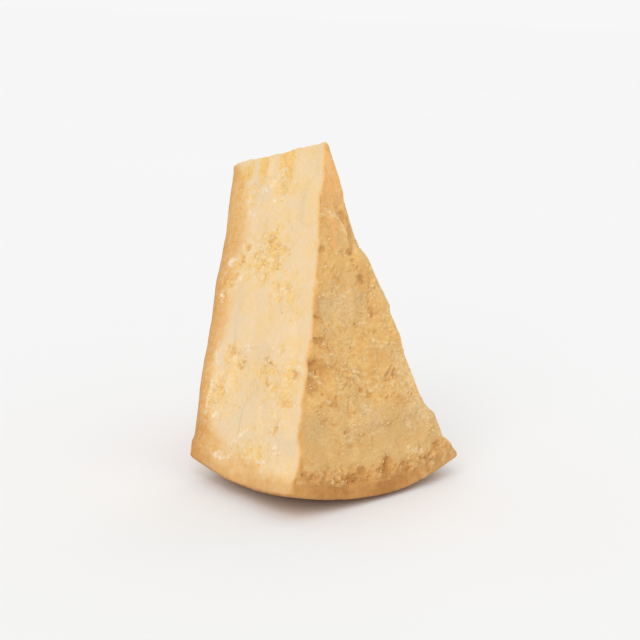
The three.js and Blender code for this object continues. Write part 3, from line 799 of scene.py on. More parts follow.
def waist_fine(p):
    """The waist cut: flaky and pitted, with smooth patches, torn hollows and, at the heel, the rind band."""
    x, r = p.across, p.r
    bent_x, bent_r = warped(x, r, 400, 1.6)
    smooth = patch_share(WAIST_SMOOTH, x, r)
    stray_rough = 0.75 * smoothstep(swell(ROUGH_CLOUDS, x, r), 0.1, 0.6)
    rough = np.maximum(patch_share(WAIST_ROUGH, x, r), stray_rough) * (1 - 0.75 * smooth)
    peach = patch_share(WAIST_PEACH, x, r)
    start = rind_band_start(x, r)
    rind = smoothstep(r, start - 0.6, start + 1.0)
    pits = hollow_depth(WAIST_PITS, bent_x, bent_r) + notch_depth(WAIST_NOTCHES, bent_x, r)
    corner, left_corner = smoothstep(x, 14, 40), 1 - smoothstep(x, -66, -48)
    fringe = smoothstep(r + swell(FRINGE_WAVES, x, r) + swell(FRINGE_TEETH, x, r), 196, 203)
    # A shallow groove along the top of the rind band, painted brown as painted shadow under the paste's step.
    line = bell(start - r - 1.2, 0.9) * clouded(LINE_GAPS, 0.6, x, r)
    notched = fringe * flaked(NOTCH_BREAKS, 0.1, x, r)
    grit = fringe * crags(bent_x / 1.2, bent_r, 450, 0.3, 0.5, 0.35) * (1 - rind * (1 - corner))
    low = smoothstep(r + swell(LOW_WANDER, x, r), 152, 176)

    relief = waist_texture(x, r, bent_x, bent_r, rough)
    fair = smoothstep(np.minimum(p.near, p.far), 0, 4) * smoothstep(r, 0, 8)
    height = (relief - 1.4 * notched - pits + grit) * fair - 0.3 * line
    amber = largest(waist_warmth(p, x, r) * (1 - 0.7 * peach), fringe * (0.75 - 0.3 * corner))
    # Painted shade: the brown share also grows with the depth of the pits and notches and along the groove.
    brown = patch_share(WAIST_BROWN_AND_SHADE, x, r) + 0.7 * notched + 0.4 * np.clip(pits, 0, 2)
    pale, rim, facet = waist_chalk(p, x, r)
    fringe_chalk = 0.7 * fringe * corner * held(breaks(FRINGE_CHALK, x, r))
    return tones_of(
        mixed(height, swell(RIND_WAVES, x, r), rind * (1 - 0.7 * corner)),
        (relief - 0.6 * notched - 0.5 * pits) * (1 - rind) + 1.2 * grit - 0.4 * line,
        amber=held(amber + 0.3 * low * left_corner),
        brown=held(brown + 0.5 * line + 0.3 * fringe * (1 - corner)),
        dull=np.maximum(smooth, mixed(0.6, 1.0, smoothstep(x, -12, 12)) * low),
        chalk=held(np.maximum(pale, fringe_chalk) + rim + facet),
        rind=rind * (1 - 0.6 * np.maximum(corner, left_corner)),
        torn=peach,
        cut=np.ones_like(x),
    )


def rind_fine(u, v, seed):
    """A rind: low waves, faint scrapes along u and a few pin holes, all brown."""
    height = swell(SKIN_WAVES, u, v, seed) + swell(SKIN_SCRAPES, u, v, seed)
    height -= 0.5 * grains(u / 7, v / 7, seed + 2, 0.04) ** 2
    return tones_of(height, 0.5 * height, rind=np.ones_like(u))


def tip_fine(p):
    """The tip: a narrow broken edge, finished like the near side, with the flat rind's brown at its end."""
    relief = crags(p.across, p.y, 610, 0.15, 0.2, 0.1)
    amber, rind = 1 - smoothstep(p.flat, 3, 14), 1 - smoothstep(p.flat, 1, 2)
    return tones_of(relief, relief, torn=np.full_like(relief, 0.25), amber=amber, rind=rind)


FACES = {
    "near": (lambda p: p.near, near_fine),
    "far": (lambda p: p.far, far_fine),
    "waist": (lambda p: p.y, waist_fine),
    "flat": (lambda p: p.flat, lambda p: rind_fine(p.across, p.r, 501)),
    "heel": (lambda p: p.heel, lambda p: rind_fine(p.across, p.y, 551)),
    "tip": (lambda p: p.r, tip_fine),
}


def skin(s, t, w, grain=1.0):
    """The finished skin: the plain wedge moved along each face's normal by the solid's relief and by the
    finer breaks, then stood on its heel. Gives points in metres, and the tones with the relief."""
    p = plain_wedge(s, t, w)
    height = solid_reliefs(p)
    tones = {tone: np.zeros_like(s) for tone in (*TONES, "relief")}
    weights = np.zeros_like(s)
    for face, (distance_of, fine_of) in FACES.items():
        distance = distance_of(p)
        close = distance < FINE_LIMIT
        fine = fine_of(Wedge(*(values[close] for values in p)))
        height[face][close] += grain * fine["height"] * np.exp(-distance[close] / FINE_REACH)
        weight = np.exp(-distance[close] / TONE_REACH)
        weights[close] += weight
        for tone in TONES:
            tones[tone][close] += weight * fine[tone]
        tones["relief"][close] += weight * fine["relief"]
    for values in tones.values():
        values /= np.maximum(weights, 1e-6)
    return standing(p, height), tones


def standing(p, height):
    """Adds the heights along the faces' normals, leans the wheel's frame and flattens the resting spot."""
    side_x = height["far"] * math.cos(FAR_ANGLE) - height["near"] * math.cos(NEAR_ANGLE)
    side_z = height["far"] * math.sin(FAR_ANGLE) - height["near"] * math.sin(NEAR_ANGLE)
    x = p.x + side_x + height["heel"] * np.sin(p.angle)
    y = p.y - height["waist"] + height["flat"]
    z = p.z + side_z + height["tip"] - height["heel"] * np.cos(p.angle)
    forward = y * math.cos(LEAN) + z * math.sin(LEAN) - REST_FORWARD
    rise = z * math.cos(LEAN) - y * math.sin(LEAN) + REST_RISE
    return np.stack([x, forward, np.maximum(rise, 0)], axis=-1) * MM


# Meshes


def make_mesh(name, points, faces):
    """A mesh from an array of points and an array of equal faces."""
    mesh = bpy.data.meshes.new(name)
    mesh.from_pydata(points.tolist(), [], faces.tolist())
    mesh.update()
    mesh.shade_smooth()
    return mesh


def make_piece(name, mesh):
    """Puts a mesh into the scene and lets it ride on the chunk."""
    piece = bpy.data.objects.new(name, mesh)
    bpy.context.scene.collection.objects.link(piece)
    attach(piece, "root")
    return piece


def store(mesh, name, values):
    """Keeps one number for each point of a mesh."""
    attribute = mesh.attributes.new(name, "FLOAT", "POINT")
    attribute.data.foreach_set("value", values.astype(np.float32))


def box_face(steps_u, steps_v, place, flipped):
    """One face of the box as a grid: place turns two steps into the steps over s, t and w."""
    u, v = np.meshgrid(np.arange(steps_u + 1), np.arange(steps_v + 1), indexing="ij")
    corner = np.stack([np.broadcast_to(step, u.shape) for step in place(u, v)], axis=-1)
    a, b = corner[:-1, :-1], corner[1:, :-1]
    c, d = corner[1:, 1:], corner[:-1, 1:]
    quads = np.stack([a, d, c, b] if flipped else [a, b, c, d], axis=2)
    return quads.reshape(-1, 4, 3)


def skin_grid():
    """The closed grid of the whole box: its corners as steps over s, t and w, and its quads."""
    across, down, along_axle = STEPS_ACROSS, STEPS_DOWN, STEPS_ALONG
    quads = np.concatenate([
        box_face(down, along_axle, lambda u, v: (0, u, v), True),
        box_face(down, along_axle, lambda u, v: (across, u, v), False),
        box_face(across, down, lambda u, v: (u, v, 0), True),
        box_face(across, down, lambda u, v: (u, v, along_axle), False),
        box_face(along_axle, across, lambda u, v: (v, down, u), False),
        box_face(along_axle, across, lambda u, v: (v, 0, u), True),
    ])
    keys = (quads[..., 0] * (down + 1) + quads[..., 1]) * (along_axle + 1) + quads[..., 2]
    corners, faces = np.unique(keys, return_inverse=True)
    rest, step_w = np.divmod(corners, along_axle + 1)
    step_s, step_t = np.divmod(rest, down + 1)
    return step_s / across, step_t / down, step_w / along_axle, faces.reshape(-1, 4)


def skin_mesh(grain):
    """The skin on its fine grid, thinned where it is smooth, with its tones kept at each point."""
    s, t, w, faces = skin_grid()
    points, tones = skin(s, t, w, grain)
    mesh = make_mesh("cheese_skin_grid", points, faces)
    for name, values in tones.items():
        store(mesh, name, values)
    fine = bpy.data.objects.new("cheese_skin_grid", mesh)
    bpy.context.scene.collection.objects.link(fine)
    thinning = fine.modifiers.new("Thinning", "DECIMATE")
    thinning.ratio = SKIN_TRIANGLES / (2 * len(faces))
    thinned = bpy.data.meshes.new_from_object(fine.evaluated_get(bpy.context.evaluated_depsgraph_get()))
    thinned.name = "cheese_skin"
    bpy.data.objects.remove(fine)
    bpy.data.meshes.remove(mesh)
    return thinned


def lump(bits, sizes, turns, rng):
    """Uneven closed lumps, one for each row of sizes: spheres over latitude and longitude, scaled, bent by
    three random sines and turned. The poles are single points."""
    rings, segments = bits.rings, bits.segments
    latitude = np.pi * np.arange(1, rings + 1) / (rings + 1)
    longitude = 2 * np.pi * np.arange(segments) / segments
    lat, lon = np.meshgrid(latitude, longitude, indexing="ij")
    unit = np.stack([np.sin(lat) * np.cos(lon), np.sin(lat) * np.sin(lon), np.cos(lat)], axis=-1)
    unit = np.concatenate([unit.reshape(-1, 3), [[0, 0, 1], [0, 0, -1]]])
    phase = rng.uniform(0, 2 * np.pi, (len(sizes), 1, 3))
    bend = 1 + LUMP_BEND * np.sin(LUMP_WAVES * unit + phase).sum(-1, keepdims=True)
    points = unit * bend * sizes[:, None, :]
    return np.einsum("nij,nkj->nki", turns, points)


def lump_faces(bits):
    """Triangles of one lump: two for each square of its grid and one fan at each pole."""
    rings, segments = bits.rings, bits.segments
    ring, segment = np.meshgrid(np.arange(rings - 1), np.arange(segments), indexing="ij")
    a = ring * segments + segment
    b = ring * segments + (segment + 1) % segments
    c, d = b + segments, a + segments
    sides = np.concatenate([np.stack([a, d, c], -1).reshape(-1, 3), np.stack([a, c, b], -1).reshape(-1, 3)])
    i = np.arange(segments)
    top, bottom, last = rings * segments, rings * segments + 1, (rings - 1) * segments
    cap = np.stack([np.full(segments, top), i, (i + 1) % segments], -1)
    foot = np.stack([np.full(segments, bottom), last + (i + 1) % segments, last + i], -1)
    return np.concatenate([sides, cap, foot])


def random_turns(count, rng):
    """Random rotation matrices, from normalised random quaternions."""
    q = rng.normal(size=(count, 4))
    a, b, c, d = (q / np.linalg.norm(q, axis=1, keepdims=True)).T
    rows = [
        [1 - 2 * (c * c + d * d), 2 * (b * c - a * d), 2 * (b * d + a * c)],
        [2 * (b * c + a * d), 1 - 2 * (b * b + d * d), 2 * (c * d - a * b)],
        [2 * (b * d - a * c), 2 * (c * d + a * b), 1 - 2 * (b * b + c * c)],
    ]
    return np.moveaxis(np.array(rows), -1, 0)


def spots(face, count, chance_of, rng):
    """Random places round random centres on a broken face, kept with the chance that its tones give."""
    trials = count * TRIALS_PER_BIT
    clusters = max(1, count // BITS_PER_CLUSTER)
    centres = rng.random((2, clusters))[:, rng.integers(clusters, size=trials)]
    u, v = np.clip(centres + CLUSTER_SPREAD * rng.normal(size=(2, trials)), 0, 1)
    inside = np.maximum(np.abs(u - 0.5), np.abs(v - 0.5)) < 0.5 - RIM_LEFT_CLEAR
    zero, one = np.zeros_like(u), np.ones_like(u)
    places = {"near": (zero, u, v), "far": (one, u, v), "waist": (u, np.sqrt(v), zero)}
    points, tones = skin(*places[face])
    kept = np.flatnonzero((rng.random(trials) < chance_of(face, tones)) & inside)[:count]
    return points[kept]


def crumb_chance(face, tones):
    """Crumbs cling to torn and chalky cheese, and less to the rest of the broken faces."""
    base = {"near": 0.0, "far": 0.02, "waist": 0.1}[face]
    return (base + 0.15 * tones["torn"] + 0.4 * tones["chalk"]) * (1 - tones["rind"])


def crystal_chance(face, tones):
    """Crystals show all over the paste and not in the rind."""
    base = {"near": 0.01, "far": 0.05, "waist": 0.3}[face]
    return (base + 0.3 * tones["torn"]) * (1 - tones["rind"])


def scatter_mesh(name, counts, size, bits, chance_of):
    """One mesh of small lumps stuck on the three broken faces, each with a random shade."""
    rng = np.random.default_rng(bits.seed)
    groups = {face: spots(face, count, chance_of, rng) for face, count in counts.items()}
    centres = np.concatenate(list(groups.values()))
    on_waist = np.repeat([face == "waist" for face in groups], [len(group) for group in groups.values()])
    count = len(centres)
    spread = np.exp(rng.normal(0, SIZE_SPREAD, (count, 1)))
    sizes = size * spread * rng.uniform(*SIDE_LENGTHS, (count, 3))
    lumps = lump(bits, sizes, random_turns(count, rng), rng) + centres[:, None, :]
    each = lumps.shape[1]
    faces = lump_faces(bits)[None] + each * np.arange(count)[:, None, None]
    lumps[..., 2] = np.maximum(lumps[..., 2], 0)
    mesh = make_mesh(name, lumps.reshape(-1, 3), faces.reshape(-1, 3))
    shade = WAIST_SHADE * on_waist + (1 - WAIST_SHADE) * rng.random(count)
    store(mesh, "shade", np.repeat(shade, each))
    return mesh


# Materials

# The split side's fibres slant from its upper left to its lower right.
FIBRE_SLANT = math.radians(40)
DOWN_THE_SIDE = np.array([
    math.sin(NEAR_ANGLE),
    -math.cos(NEAR_ANGLE) * math.sin(LEAN),
    -math.cos(NEAR_ANGLE) * math.cos(LEAN),
])
ALONG_THE_AXLE = np.array([0, math.cos(LEAN), -math.sin(LEAN)])
FIBRE_WAY = tuple(math.sin(FIBRE_SLANT) * DOWN_THE_SIDE - math.cos(FIBRE_SLANT) * ALONG_THE_AXLE)

# Patterns of the paste: how wide their lumps are in metres, their detail and their roughness.
CLOUD = (0.016, 3.0, 0.5)
MOTTLE = (0.0042, 3.0, 0.6)
SPECKLE = (0.0013, 2.0, 0.65)
FIBRES = (0.0034, 3.0, 0.55)
FLAKES = (0.0022, 3.0, 0.6)
CRACK_CELLS = 0.0036
FLECK_CELLS = 0.0019
CRUMB_SPECKLE = (0.0009, 1.0, 0.5)
FLOOR_CLOUD = (0.4, 2.0, 0.5)
FIBRE_STRETCH = 4.5
LAYER_STRETCH = 1.6

# How high the bumps stand in metres, and how much the cheese shines.
PASTE_BUMP = 0.0009
CRUMB_BUMP = 0.0002
FLOOR_BUMP = 0.00001
SHINE = 0.35


class Wire:
    """A number's socket, which Python's operators carry through Math nodes."""

    def __init__(self, recipe, socket):
        self.recipe = recipe
        self.socket = socket

    def _math(self, operation, *values, clamp=False):
        settings = {"operation": operation, "use_clamp": clamp}
        return Wire(self.recipe, self.recipe.add("ShaderNodeMath", settings, *values).outputs[0])

    def _operator(operation, reflected=False):
        """A method that takes the wire and another value through one Math node."""

        def carry(self, other):
            return self._math(operation, *((other, self) if reflected else (self, other)))

        return carry

    __add__, __radd__ = _operator("ADD"), _operator("ADD", True)
    __sub__, __rsub__ = _operator("SUBTRACT"), _operator("SUBTRACT", True)
    __mul__, __rmul__ = _operator("MULTIPLY"), _operator("MULTIPLY", True)

    def clamped(self):
        """The value held between 0 and 1."""
        return self._math("ADD", self, 0.0, clamp=True)

    def between(self, low, high):
        """0 at low, 1 at high and straight between them, held at both ends."""
        return ((self - low) * (1 / (high - low))).clamped()


class Recipe:
    """A material's nodes, built from expressions."""

    def __init__(self, name):
        self.material = bpy.data.materials.new(name)
        self.material.use_nodes = True
        self.tree = self.material.node_tree
        self.tree.nodes.clear()
        self.place = self.add("ShaderNodeTexCoord").outputs["Object"]

    def plug(self, socket, value):
        """Links a socket to a wire or another socket, or sets it to a number, a vector or a colour."""
        source = value.socket if isinstance(value, Wire) else value
        if isinstance(source, bpy.types.NodeSocket):
            self.tree.links.new(source, socket)
        else:
            socket.default_value = (*source, 1.0) if isinstance(source, Color) else source

    def add(self, kind, settings=None, *values, **named):
        """A node of a kind, with its settings made first and then its sockets set or linked, in order or by
        name."""
        node = self.tree.nodes.new(kind)
        for name, value in (settings or {}).items():
            setattr(node, name, value)
        for key, value in [*enumerate(values), *named.items()]:
            self.plug(node.inputs[key if isinstance(key, int) else key.replace("_", " ")], value)
        return node

    def drawn_out(self, way, factor):
        """Object coordinates squeezed along a unit vector, so that a pattern comes out longer that way."""
        reach = self.add("ShaderNodeVectorMath", {"operation": "DOT_PRODUCT"}, self.place, way)
        back = Wire(self, reach.outputs["Value"]) * (1 / factor - 1)
        shift = self.add("ShaderNodeVectorMath", {"operation": "SCALE"}, way, Scale=back)
        return self.add("ShaderNodeVectorMath", {"operation": "ADD"}, self.place, shift.outputs[0]).outputs[0]

    def noise(self, size, detail, roughness, place=None):
        """Noise from 0 to 1 whose lumps are about size metres across, on Object coordinates or a place."""
        values = {"Scale": 1 / size, "Detail": detail, "Roughness": roughness}
        node = self.add("ShaderNodeTexNoise", None, Vector=place or self.place, **values)
        return Wire(self, node.outputs["Fac"])

    def cells(self, size, feature, place=None):
        """A distance in cells about size metres wide: to the nearest centre, or to the nearest border."""
        settings = {"feature": feature}
        node = self.add("ShaderNodeTexVoronoi", settings, Vector=place or self.place, Scale=1 / size)
        return Wire(self, node.outputs["Distance"])

    def kept(self, name):
        """A number that the mesh keeps at each point."""
        return Wire(self, self.add("ShaderNodeAttribute", {"attribute_name": name}).outputs["Fac"])

    def colour(self, share, a, b):
        """Colour a turned into colour b by share."""
        node = self.add("ShaderNodeMix", {"data_type": "RGBA"}, share)
        self.plug(node.inputs[6], a)
        self.plug(node.inputs[7], b)
        return node.outputs[2]

    def bump(self, height, distance):
        """A normal bent by a height from 0 to 1 that stands for so many metres."""
        return self.add("ShaderNodeBump", None, Height=height, Distance=distance).outputs["Normal"]

    def finish(self, base, roughness, normal, **constants):
        """The shader and the output; the constants are set on its own sockets."""
        values = {"Base_Color": base, "Roughness": roughness, "Normal": normal}
        shader = self.add("ShaderNodeBsdfPrincipled", None, **values, **constants)
        self.add("ShaderNodeOutputMaterial", None, shader.outputs[0])
        return self.material


def tint(code):
    """The linear colour of a six-digit sRGB code."""
    parts = [int(code[i : i + 2], 16) / 255 for i in (0, 2, 4)]
    return tuple(c / 12.92 if c <= 0.04045 else ((c + 0.055) / 1.055) ** 2.4 for c in parts)


def skin_material(look):
    """Broken paste, torn, cut and chalky cheese, amber near the rind, and the rind itself. Colours are laid
    over one another, each by its own share. Painted shade darkens low relief, cracks and the low side of the
    bumps, and painted highlight lightens raised relief and the tops of the bumps."""
    recipe = Recipe("aged cheese")
    layers = recipe.drawn_out((1.0, 0.0, 0.0), LAYER_STRETCH)
    cloud, mottle, speckle = (recipe.noise(*pattern) for pattern in (CLOUD, MOTTLE, SPECKLE))
    fibres = recipe.noise(*FIBRES, place=recipe.drawn_out(FIBRE_WAY, FIBRE_STRETCH))
    flakes = recipe.noise(*FLAKES, place=layers)
    relief = recipe.kept("relief")
    torn, amber, brown, dull, chalk, rind, cut = (recipe.kept(tone).clamped() for tone in TONES)

    broken = (torn * (1 - cut) * 0.8 + cut * (1 - dull * 0.6) * (1 - torn * 0.4)).clamped()
    # Painted shade: dark lines along the cell borders stand for the shade inside cracks.
    crack_shade = (0.09 - recipe.cells(CRACK_CELLS, "DISTANCE_TO_EDGE", layers)).between(0.0, 0.07)
    crack_shade = crack_shade * (mottle.between(0.5, 0.6) * broken)
    fleck = (0.34 - recipe.cells(FLECK_CELLS, "F1")).between(0.0, 0.14)
    fleck = fleck * (cloud.between(0.42, 0.6) * 0.7 + 0.1 + torn * 0.3)
    lively = (cloud.between(0.4, 0.6) * 0.55 + 0.45) * broken
    # Painted shade: the flakes pattern also raises the bump, and its low side is painted darker.
    sunk_shade = (0.48 - flakes).between(0.0, 0.14) * lively
    # Painted highlight: the high side of the flakes pattern, which also raises the bump, is painted paler.
    raised_highlight = (flakes - 0.52).between(0.0, 0.14) * lively
    # Painted shade: deep grows where the kept relief and the bump are low, with some random mottle.
    deep = (relief * -1.1 + (mottle - 0.5) * 1.0 + (flakes - 0.5) * 1.8).between(0.15, 0.95)
    # Painted highlight: high grows where the kept relief and the bump are high, with some random speckle.
    high = (relief * 0.8 + (speckle - 0.5) * 1.6 + (flakes - 0.5) * 1.4).between(0.25, 0.95)
    # Real pale flecks, and painted highlight on raised relief and bump tops.
    grains_and_highlight = (high * 0.55 + fleck * 0.55 + raised_highlight * 0.5).clamped() * (1 - dull * 0.3 - amber * 0.3)
    warm = (cloud * 0.55 + fibres * 0.3 + mottle * 0.15).between(0.45, 0.57)
    tan = (dull * 0.8 + cloud.between(0.45, 0.65) * 0.5).clamped()
    rind_dark = (cloud * 0.45 + mottle * 0.35 + speckle * 0.2).between(0.4, 0.6)
    waxy = speckle * 0.5 + flakes * 0.5

    coats = (
        (dull * 0.85, look.paste_dull),
        (torn * (mottle.between(0.25, 0.6) * 0.35 + 0.65), look.torn),
        (cut, recipe.colour(tan, look.cut, look.cut_tan)),
        (torn * cut * 0.9, look.peach),
        (amber * (mottle * 0.6 + 0.6).clamped(), look.amber),
        # Painted shade in hollows, cracks and on the low side of the bumps.
        (deep * (broken * 0.75 + 0.15), look.pit),
        ((crack_shade * 0.6 + sunk_shade * 0.7).clamped(), look.pit),
        # Real brown of the aged paste, and painted shade in the waist face's pits.
        (brown * (flakes.between(0.3, 0.6) * 0.6 + 0.25), look.brown),
        # Real pale grains and flecks, with painted highlight on raised places.
        (grains_and_highlight, look.grain),
        # Real chalky patches, with painted highlight along ridges of the waist face.
        (chalk * waxy.between(0.38, 0.58), recipe.colour(cut, look.chalk, look.grain)),
        (rind, recipe.colour(rind_dark, look.rind, look.rind_dark)),
    )
    colour = recipe.colour(warm * 0.8, look.paste, look.paste_warm)
    for share, coat in coats:
        colour = recipe.colour(share, colour, coat)
    return recipe.finish(
        colour,
        (0.74 - rind * 0.22 + (mottle - 0.5) * 0.2).clamped(),
        recipe.bump(waxy * (1 - rind * 0.7), PASTE_BUMP),
        Specular_IOR_Level=SHINE,
        Subsurface_Weight=0.06,
        Subsurface_Radius=(1.0, 0.55, 0.25),
        Subsurface_Scale=0.002,
    )


def crumb_material(name, pale, warm, roughness):
    """Small bits of cheese, each of its own shade between a pale and a warm colour."""
    recipe = Recipe(name)
    speckle = recipe.noise(*CRUMB_SPECKLE)
    colour = recipe.colour(recipe.kept("shade"), pale, warm)
    roughness = (roughness + speckle * 0.2).clamped()
    return recipe.finish(colour, roughness, recipe.bump(speckle, CRUMB_BUMP), Specular_IOR_Level=SHINE)


def floor_material(colour):
    """A plain pale floor with the faintest unevenness."""
    recipe = Recipe("studio floor")
    cloud = recipe.noise(*FLOOR_CLOUD)
    shade = recipe.colour(cloud * 0.02, colour, (0.0, 0.0, 0.0, 1.0))
    return recipe.finish(shade, 0.9 + cloud * 0.05, recipe.bump(cloud, FLOOR_BUMP), Specular_IOR_Level=0.0)


# What a user may change


def colour_property(name, description, code):
    """A colour in linear light, from an sRGB code."""
    kind = {"subtype": "COLOR", "size": 3, "min": 0.0, "max": 1.0}
    return bpy.props.FloatVectorProperty(name=name, description=description, default=tint(code), **kind)


def number_property(name, description, default, least=0.0, **more):
    """A number with a lower limit."""
    return bpy.props.FloatProperty(name=name, description=description, default=default, min=least, **more)


def size_property(name, description, default):
    """A length in metres."""
    return number_property(name, description, default, unit="LENGTH", subtype="DISTANCE")


def count_property(bits, face, default):
    """How many bits lie on a face."""
    description = f"Number of {bits.lower()} on the {face}"
    return bpy.props.IntProperty(name=f"{bits}, {face}", description=description, default=default, min=0)


class CheeseLook(bpy.types.PropertyGroup):
    """Colours of the cheese."""

    paste: colour_property("Paste", "Smooth split paste", "E9CCA2")
    paste_warm: colour_property("Warm paste", "Smooth paste where it is warmer", "EBC98F")
    paste_dull: colour_property("Dull paste", "Smooth paste where it is greyer", "E3CAA6")
    torn: colour_property("Torn paste", "Yellow paste in torn patches", "EFC46E")
    cut: colour_property("Cut paste", "The waist face, where it is warm", "E8BA70")
    cut_tan: colour_property("Tan cut paste", "The waist face, where it is dull", "D8B074")
    peach: colour_property("Peach paste", "The waist face near the tip", "F0B670")
    amber: colour_property("Amber paste", "Paste near the rind and along the ridge", "E0AA60")
    # Painted shade: the colour that low relief, cracks and sunk bumps are darkened towards.
    pit: colour_property("Pits", "The depth of pits and cracks", "D49F5B")
    # Real brown of the aged paste, and painted shade in the pits and under the steps of the waist face.
    brown: colour_property("Brown hollows", "The darkest hollows of the waist face", "C0853F")
    # Real pale grains, and painted highlight on raised relief and bump tops.
    grain: colour_property("Grains", "Raised grains", "F2D6A6")
    # Real dry white patches, and painted highlight along ridges of the waist face.
    chalk: colour_property("Chalk", "Dry white patches", "F0E0C6")
    rind: colour_property("Rind", "The rind, where it is light", "CD944F")
    rind_dark: colour_property("Dark rind", "The rind, where it is dark", "B0783A")
    crumb: colour_property("Crumbs", "Pale crumbs", "EBD1A2")
    crumb_warm: colour_property("Warm crumbs", "Yellow crumbs", "E8C488")
    crystal: colour_property("Crystals", "White crystals", "EBCF9E")
    crystal_warm: colour_property("Warm crystals", "Crystals under a film of paste", "E2BE84")


class CheeseSizes(bpy.types.PropertyGroup):
    """Sizes and numbers of what breaks and sticks to the cheese."""

    grain: number_property("Grain", "Height of the fine breaks, 1 for this cheese", 1.0, max=1.5)
    crumb_size: size_property("Crumb size", "Half width of a crumb", 0.00045)
    crystal_size: size_property("Crystal size", "Half width of a crystal", 0.00035)
    crumbs_near: count_property("Crumbs", "near side", 160)
    crumbs_far: count_property("Crumbs", "far side", 200)
    crumbs_waist: count_property("Crumbs", "waist cut", 420)
    crystals_near: count_property("Crystals", "near side", 70)
    crystals_far: count_property("Crystals", "far side", 120)
    crystals_waist: count_property("Crystals", "waist cut", 260)


class CheeseStage(bpy.types.PropertyGroup):
    """Floor, light and camera."""

    floor: colour_property("Floor", "The plain pale floor", "F0F0F0")
    backdrop: number_property("Backdrop", "Brightness seen behind", 0.93)
    sky: number_property("Sky", "Brightness of the light all round", 0.75)
    key: number_property("Key light", "Strength of the soft light from the left", 1.2)
    fill: number_property("Fill light", "Strength of the soft light from behind", 0.4)
    key_width: number_property("Light width", "Angle a soft light spans", math.radians(50), subtype="ANGLE")
    lens: number_property("Lens", "Focal length on a 36 mm frame, in millimetres", 77.5, least=1.0)


# The pieces and the stage

FLOOR_RADIUS = 40.0
FLOOR_SEGMENTS = 64
KEY_FROM = (math.radians(-62), math.radians(42))  # azimuth and elevation
FILL_FROM = (math.radians(118), math.radians(30))
CAMERA_FROM = (math.radians(-43.37), math.radians(12.73))
SENSOR_WIDTH = 36.0
CAMERA_ROLL = math.radians(2.27)
CAMERA_DISTANCE = 0.850
CAMERA_AIM = (-0.00497, 0.00213, 0.1012)


def direction(azimuth, elevation):
    """The unit vector towards a viewer who looks along +Y at azimuth 0 and steps to the right with it."""
    flat = math.cos(elevation)
    return np.array([math.sin(azimuth) * flat, -math.cos(azimuth) * flat, math.sin(elevation)])


def facing(back, roll):
    """The rotation of a camera or lamp whose back points along back: columns right, up and back."""
    right = np.cross([0, 0, 1], back)
    right /= np.linalg.norm(right)
    up = np.cross(back, right)
    turned_right = math.cos(roll) * right + math.sin(roll) * up
    turned_up = math.cos(roll) * up - math.sin(roll) * right
    return np.stack([turned_right, turned_up, back], axis=1)


def place_on_stage(name, data, rotation, location):
    """Links a lamp or camera with a rotation matrix and a location."""
    thing = bpy.data.objects.new(name, data)
    bpy.context.scene.collection.objects.link(thing)
    matrix = np.eye(4)
    matrix[:3, :3] = rotation
    matrix[:3, 3] = location
    thing.matrix_world = Matrix(matrix.tolist())
    return thing


def scatter(context, kind, bits, chance_of, roughness):
    """Makes one kind of bits, with the sizes, numbers and colours that carry its name."""
    sizes, look = context.scene.cheese_sizes, context.scene.cheese_look
    counts = {face: getattr(sizes, f"{kind}s_{face}") for face in ("near", "far", "waist")}
    mesh = scatter_mesh(f"cheese_{kind}s", counts, getattr(sizes, f"{kind}_size"), bits, chance_of)
    shades = (getattr(look, kind), getattr(look, f"{kind}_warm"))
    mesh.materials.append(crumb_material(f"cheese {kind}s", *shades, roughness))
    make_piece(f"cheese_{kind}s", mesh)


class CHEESE_OT_skin(bpy.types.Operator):
    """Makes the chunk's broken skin and rinds"""

    bl_idname = "cheese.skin"
    bl_label = "Make Cheese Skin"

    def execute(self, context):
        mesh = skin_mesh(context.scene.cheese_sizes.grain)
        mesh.materials.append(skin_material(context.scene.cheese_look))
        piece = make_piece("cheese_skin", mesh)
        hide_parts("cheese_chunk")
        return {"FINISHED"}


class CHEESE_OT_crumbs(bpy.types.Operator):
    """Sticks crumbs to the broken faces"""

    bl_idname = "cheese.crumbs"
    bl_label = "Scatter Crumbs"

    def execute(self, context):
        scatter(context, "crumb", CRUMBS, crumb_chance, roughness=0.65)
        return {"FINISHED"}


class CHEESE_OT_crystals(bpy.types.Operator):
    """Scatters white crystals over the paste"""

    bl_idname = "cheese.crystals"
    bl_label = "Scatter Crystals"

    def execute(self, context):
        scatter(context, "crystal", CRYSTALS, crystal_chance, roughness=0.5)
        return {"FINISHED"}


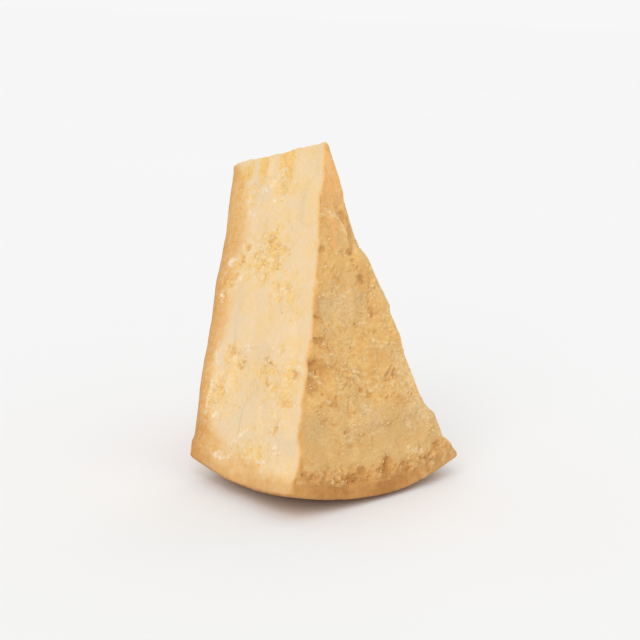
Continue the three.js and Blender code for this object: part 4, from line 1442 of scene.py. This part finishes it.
class CHEESE_OT_stage(bpy.types.Operator):
    """Sets up the pale floor, the soft light and the camera"""

    bl_idname = "cheese.stage"
    bl_label = "Set Up Stage"

    def execute(self, context):
        look = context.scene.cheese_stage
        self.make_floor(look)
        self.make_light(context.scene, look)
        self.make_camera(context.scene, look)
        return {"FINISHED"}

    def make_floor(self, look):
        """A wide disc at the height of the resting spot."""
        angle = 2 * np.pi * np.arange(FLOOR_SEGMENTS) / FLOOR_SEGMENTS
        rim = FLOOR_RADIUS * np.stack([np.cos(angle), np.sin(angle), 0 * angle], axis=-1)
        mesh = make_mesh("studio_floor", rim, np.arange(FLOOR_SEGMENTS)[None])
        mesh.materials.append(floor_material(look.floor))
        floor = bpy.data.objects.new("studio_floor", mesh)
        bpy.context.scene.collection.objects.link(floor)

    def make_light(self, scene, look):
        """An even sky, seen at its own brightness, and two broad soft lamps, from the left and behind."""
        world = bpy.data.worlds.new("studio sky")
        world.use_nodes = True
        nodes, links = world.node_tree.nodes, world.node_tree.links
        seen = nodes.new("ShaderNodeLightPath").outputs["Is Camera Ray"]
        strength = nodes.new("ShaderNodeMapRange")
        strength.inputs["To Min"].default_value = look.sky
        strength.inputs["To Max"].default_value = look.backdrop
        links.new(seen, strength.inputs["Value"])
        nodes["Background"].inputs["Color"].default_value = (1.0, 1.0, 1.0, 1.0)
        links.new(strength.outputs["Result"], nodes["Background"].inputs["Strength"])
        scene.world = world
        lamps = (("soft key", look.key, KEY_FROM), ("soft fill", look.fill, FILL_FROM))
        for name, energy, angles in lamps:
            lamp = bpy.data.lights.new(name, "SUN")
            lamp.energy = energy
            lamp.angle = look.key_width
            back = direction(*angles)
            place_on_stage(name, lamp, facing(back, 0.0), 2 * back)
        scene.view_settings.view_transform = "Standard"

    def make_camera(self, scene, look):
        """The camera, aimed at the chunk's middle."""
        lens = bpy.data.cameras.new("camera")
        lens.lens = look.lens
        lens.sensor_width = SENSOR_WIDTH
        back = direction(*CAMERA_FROM)
        location = np.array(CAMERA_AIM) + CAMERA_DISTANCE * back
        scene.camera = place_on_stage("camera", lens, facing(back, CAMERA_ROLL), location)


class CHEESE_PT_panel(bpy.types.Panel):
    """Lists the pieces and what may be changed"""

    bl_idname = "CHEESE_PT_panel"
    bl_label = "Aged Cheese Chunk"
    bl_space_type = "VIEW_3D"
    bl_region_type = "UI"
    bl_category = "Cheese"

    def draw(self, context):
        for group in (context.scene.cheese_sizes, context.scene.cheese_look, context.scene.cheese_stage):
            box = self.layout.box()
            for name in group.__annotations__:
                box.prop(group, name)
        for operator in OPERATORS:
            self.layout.operator(operator.bl_idname)


GROUPS = {"cheese_look": CheeseLook, "cheese_sizes": CheeseSizes, "cheese_stage": CheeseStage}
OPERATORS = (CHEESE_OT_skin, CHEESE_OT_crumbs, CHEESE_OT_crystals, CHEESE_OT_stage)


def register():
    """Registers the classes and hangs the property groups on the scene."""
    for made in (*GROUPS.values(), *OPERATORS, CHEESE_PT_panel):
        bpy.utils.register_class(made)
    for name, group in GROUPS.items():
        setattr(bpy.types.Scene, name, bpy.props.PointerProperty(type=group))


def unregister():
    """Takes them off again."""
    for name in GROUPS:
        delattr(bpy.types.Scene, name)
    for made in reversed((*GROUPS.values(), *OPERATORS, CHEESE_PT_panel)):
        bpy.utils.unregister_class(made)


def main():
    """Makes every piece and the stage."""
    register()
    bpy.ops.cheese.stage()
    bpy.ops.cheese.skin()
    bpy.ops.cheese.crumbs()
    bpy.ops.cheese.crystals()


if __name__ == "__main__":
    main()
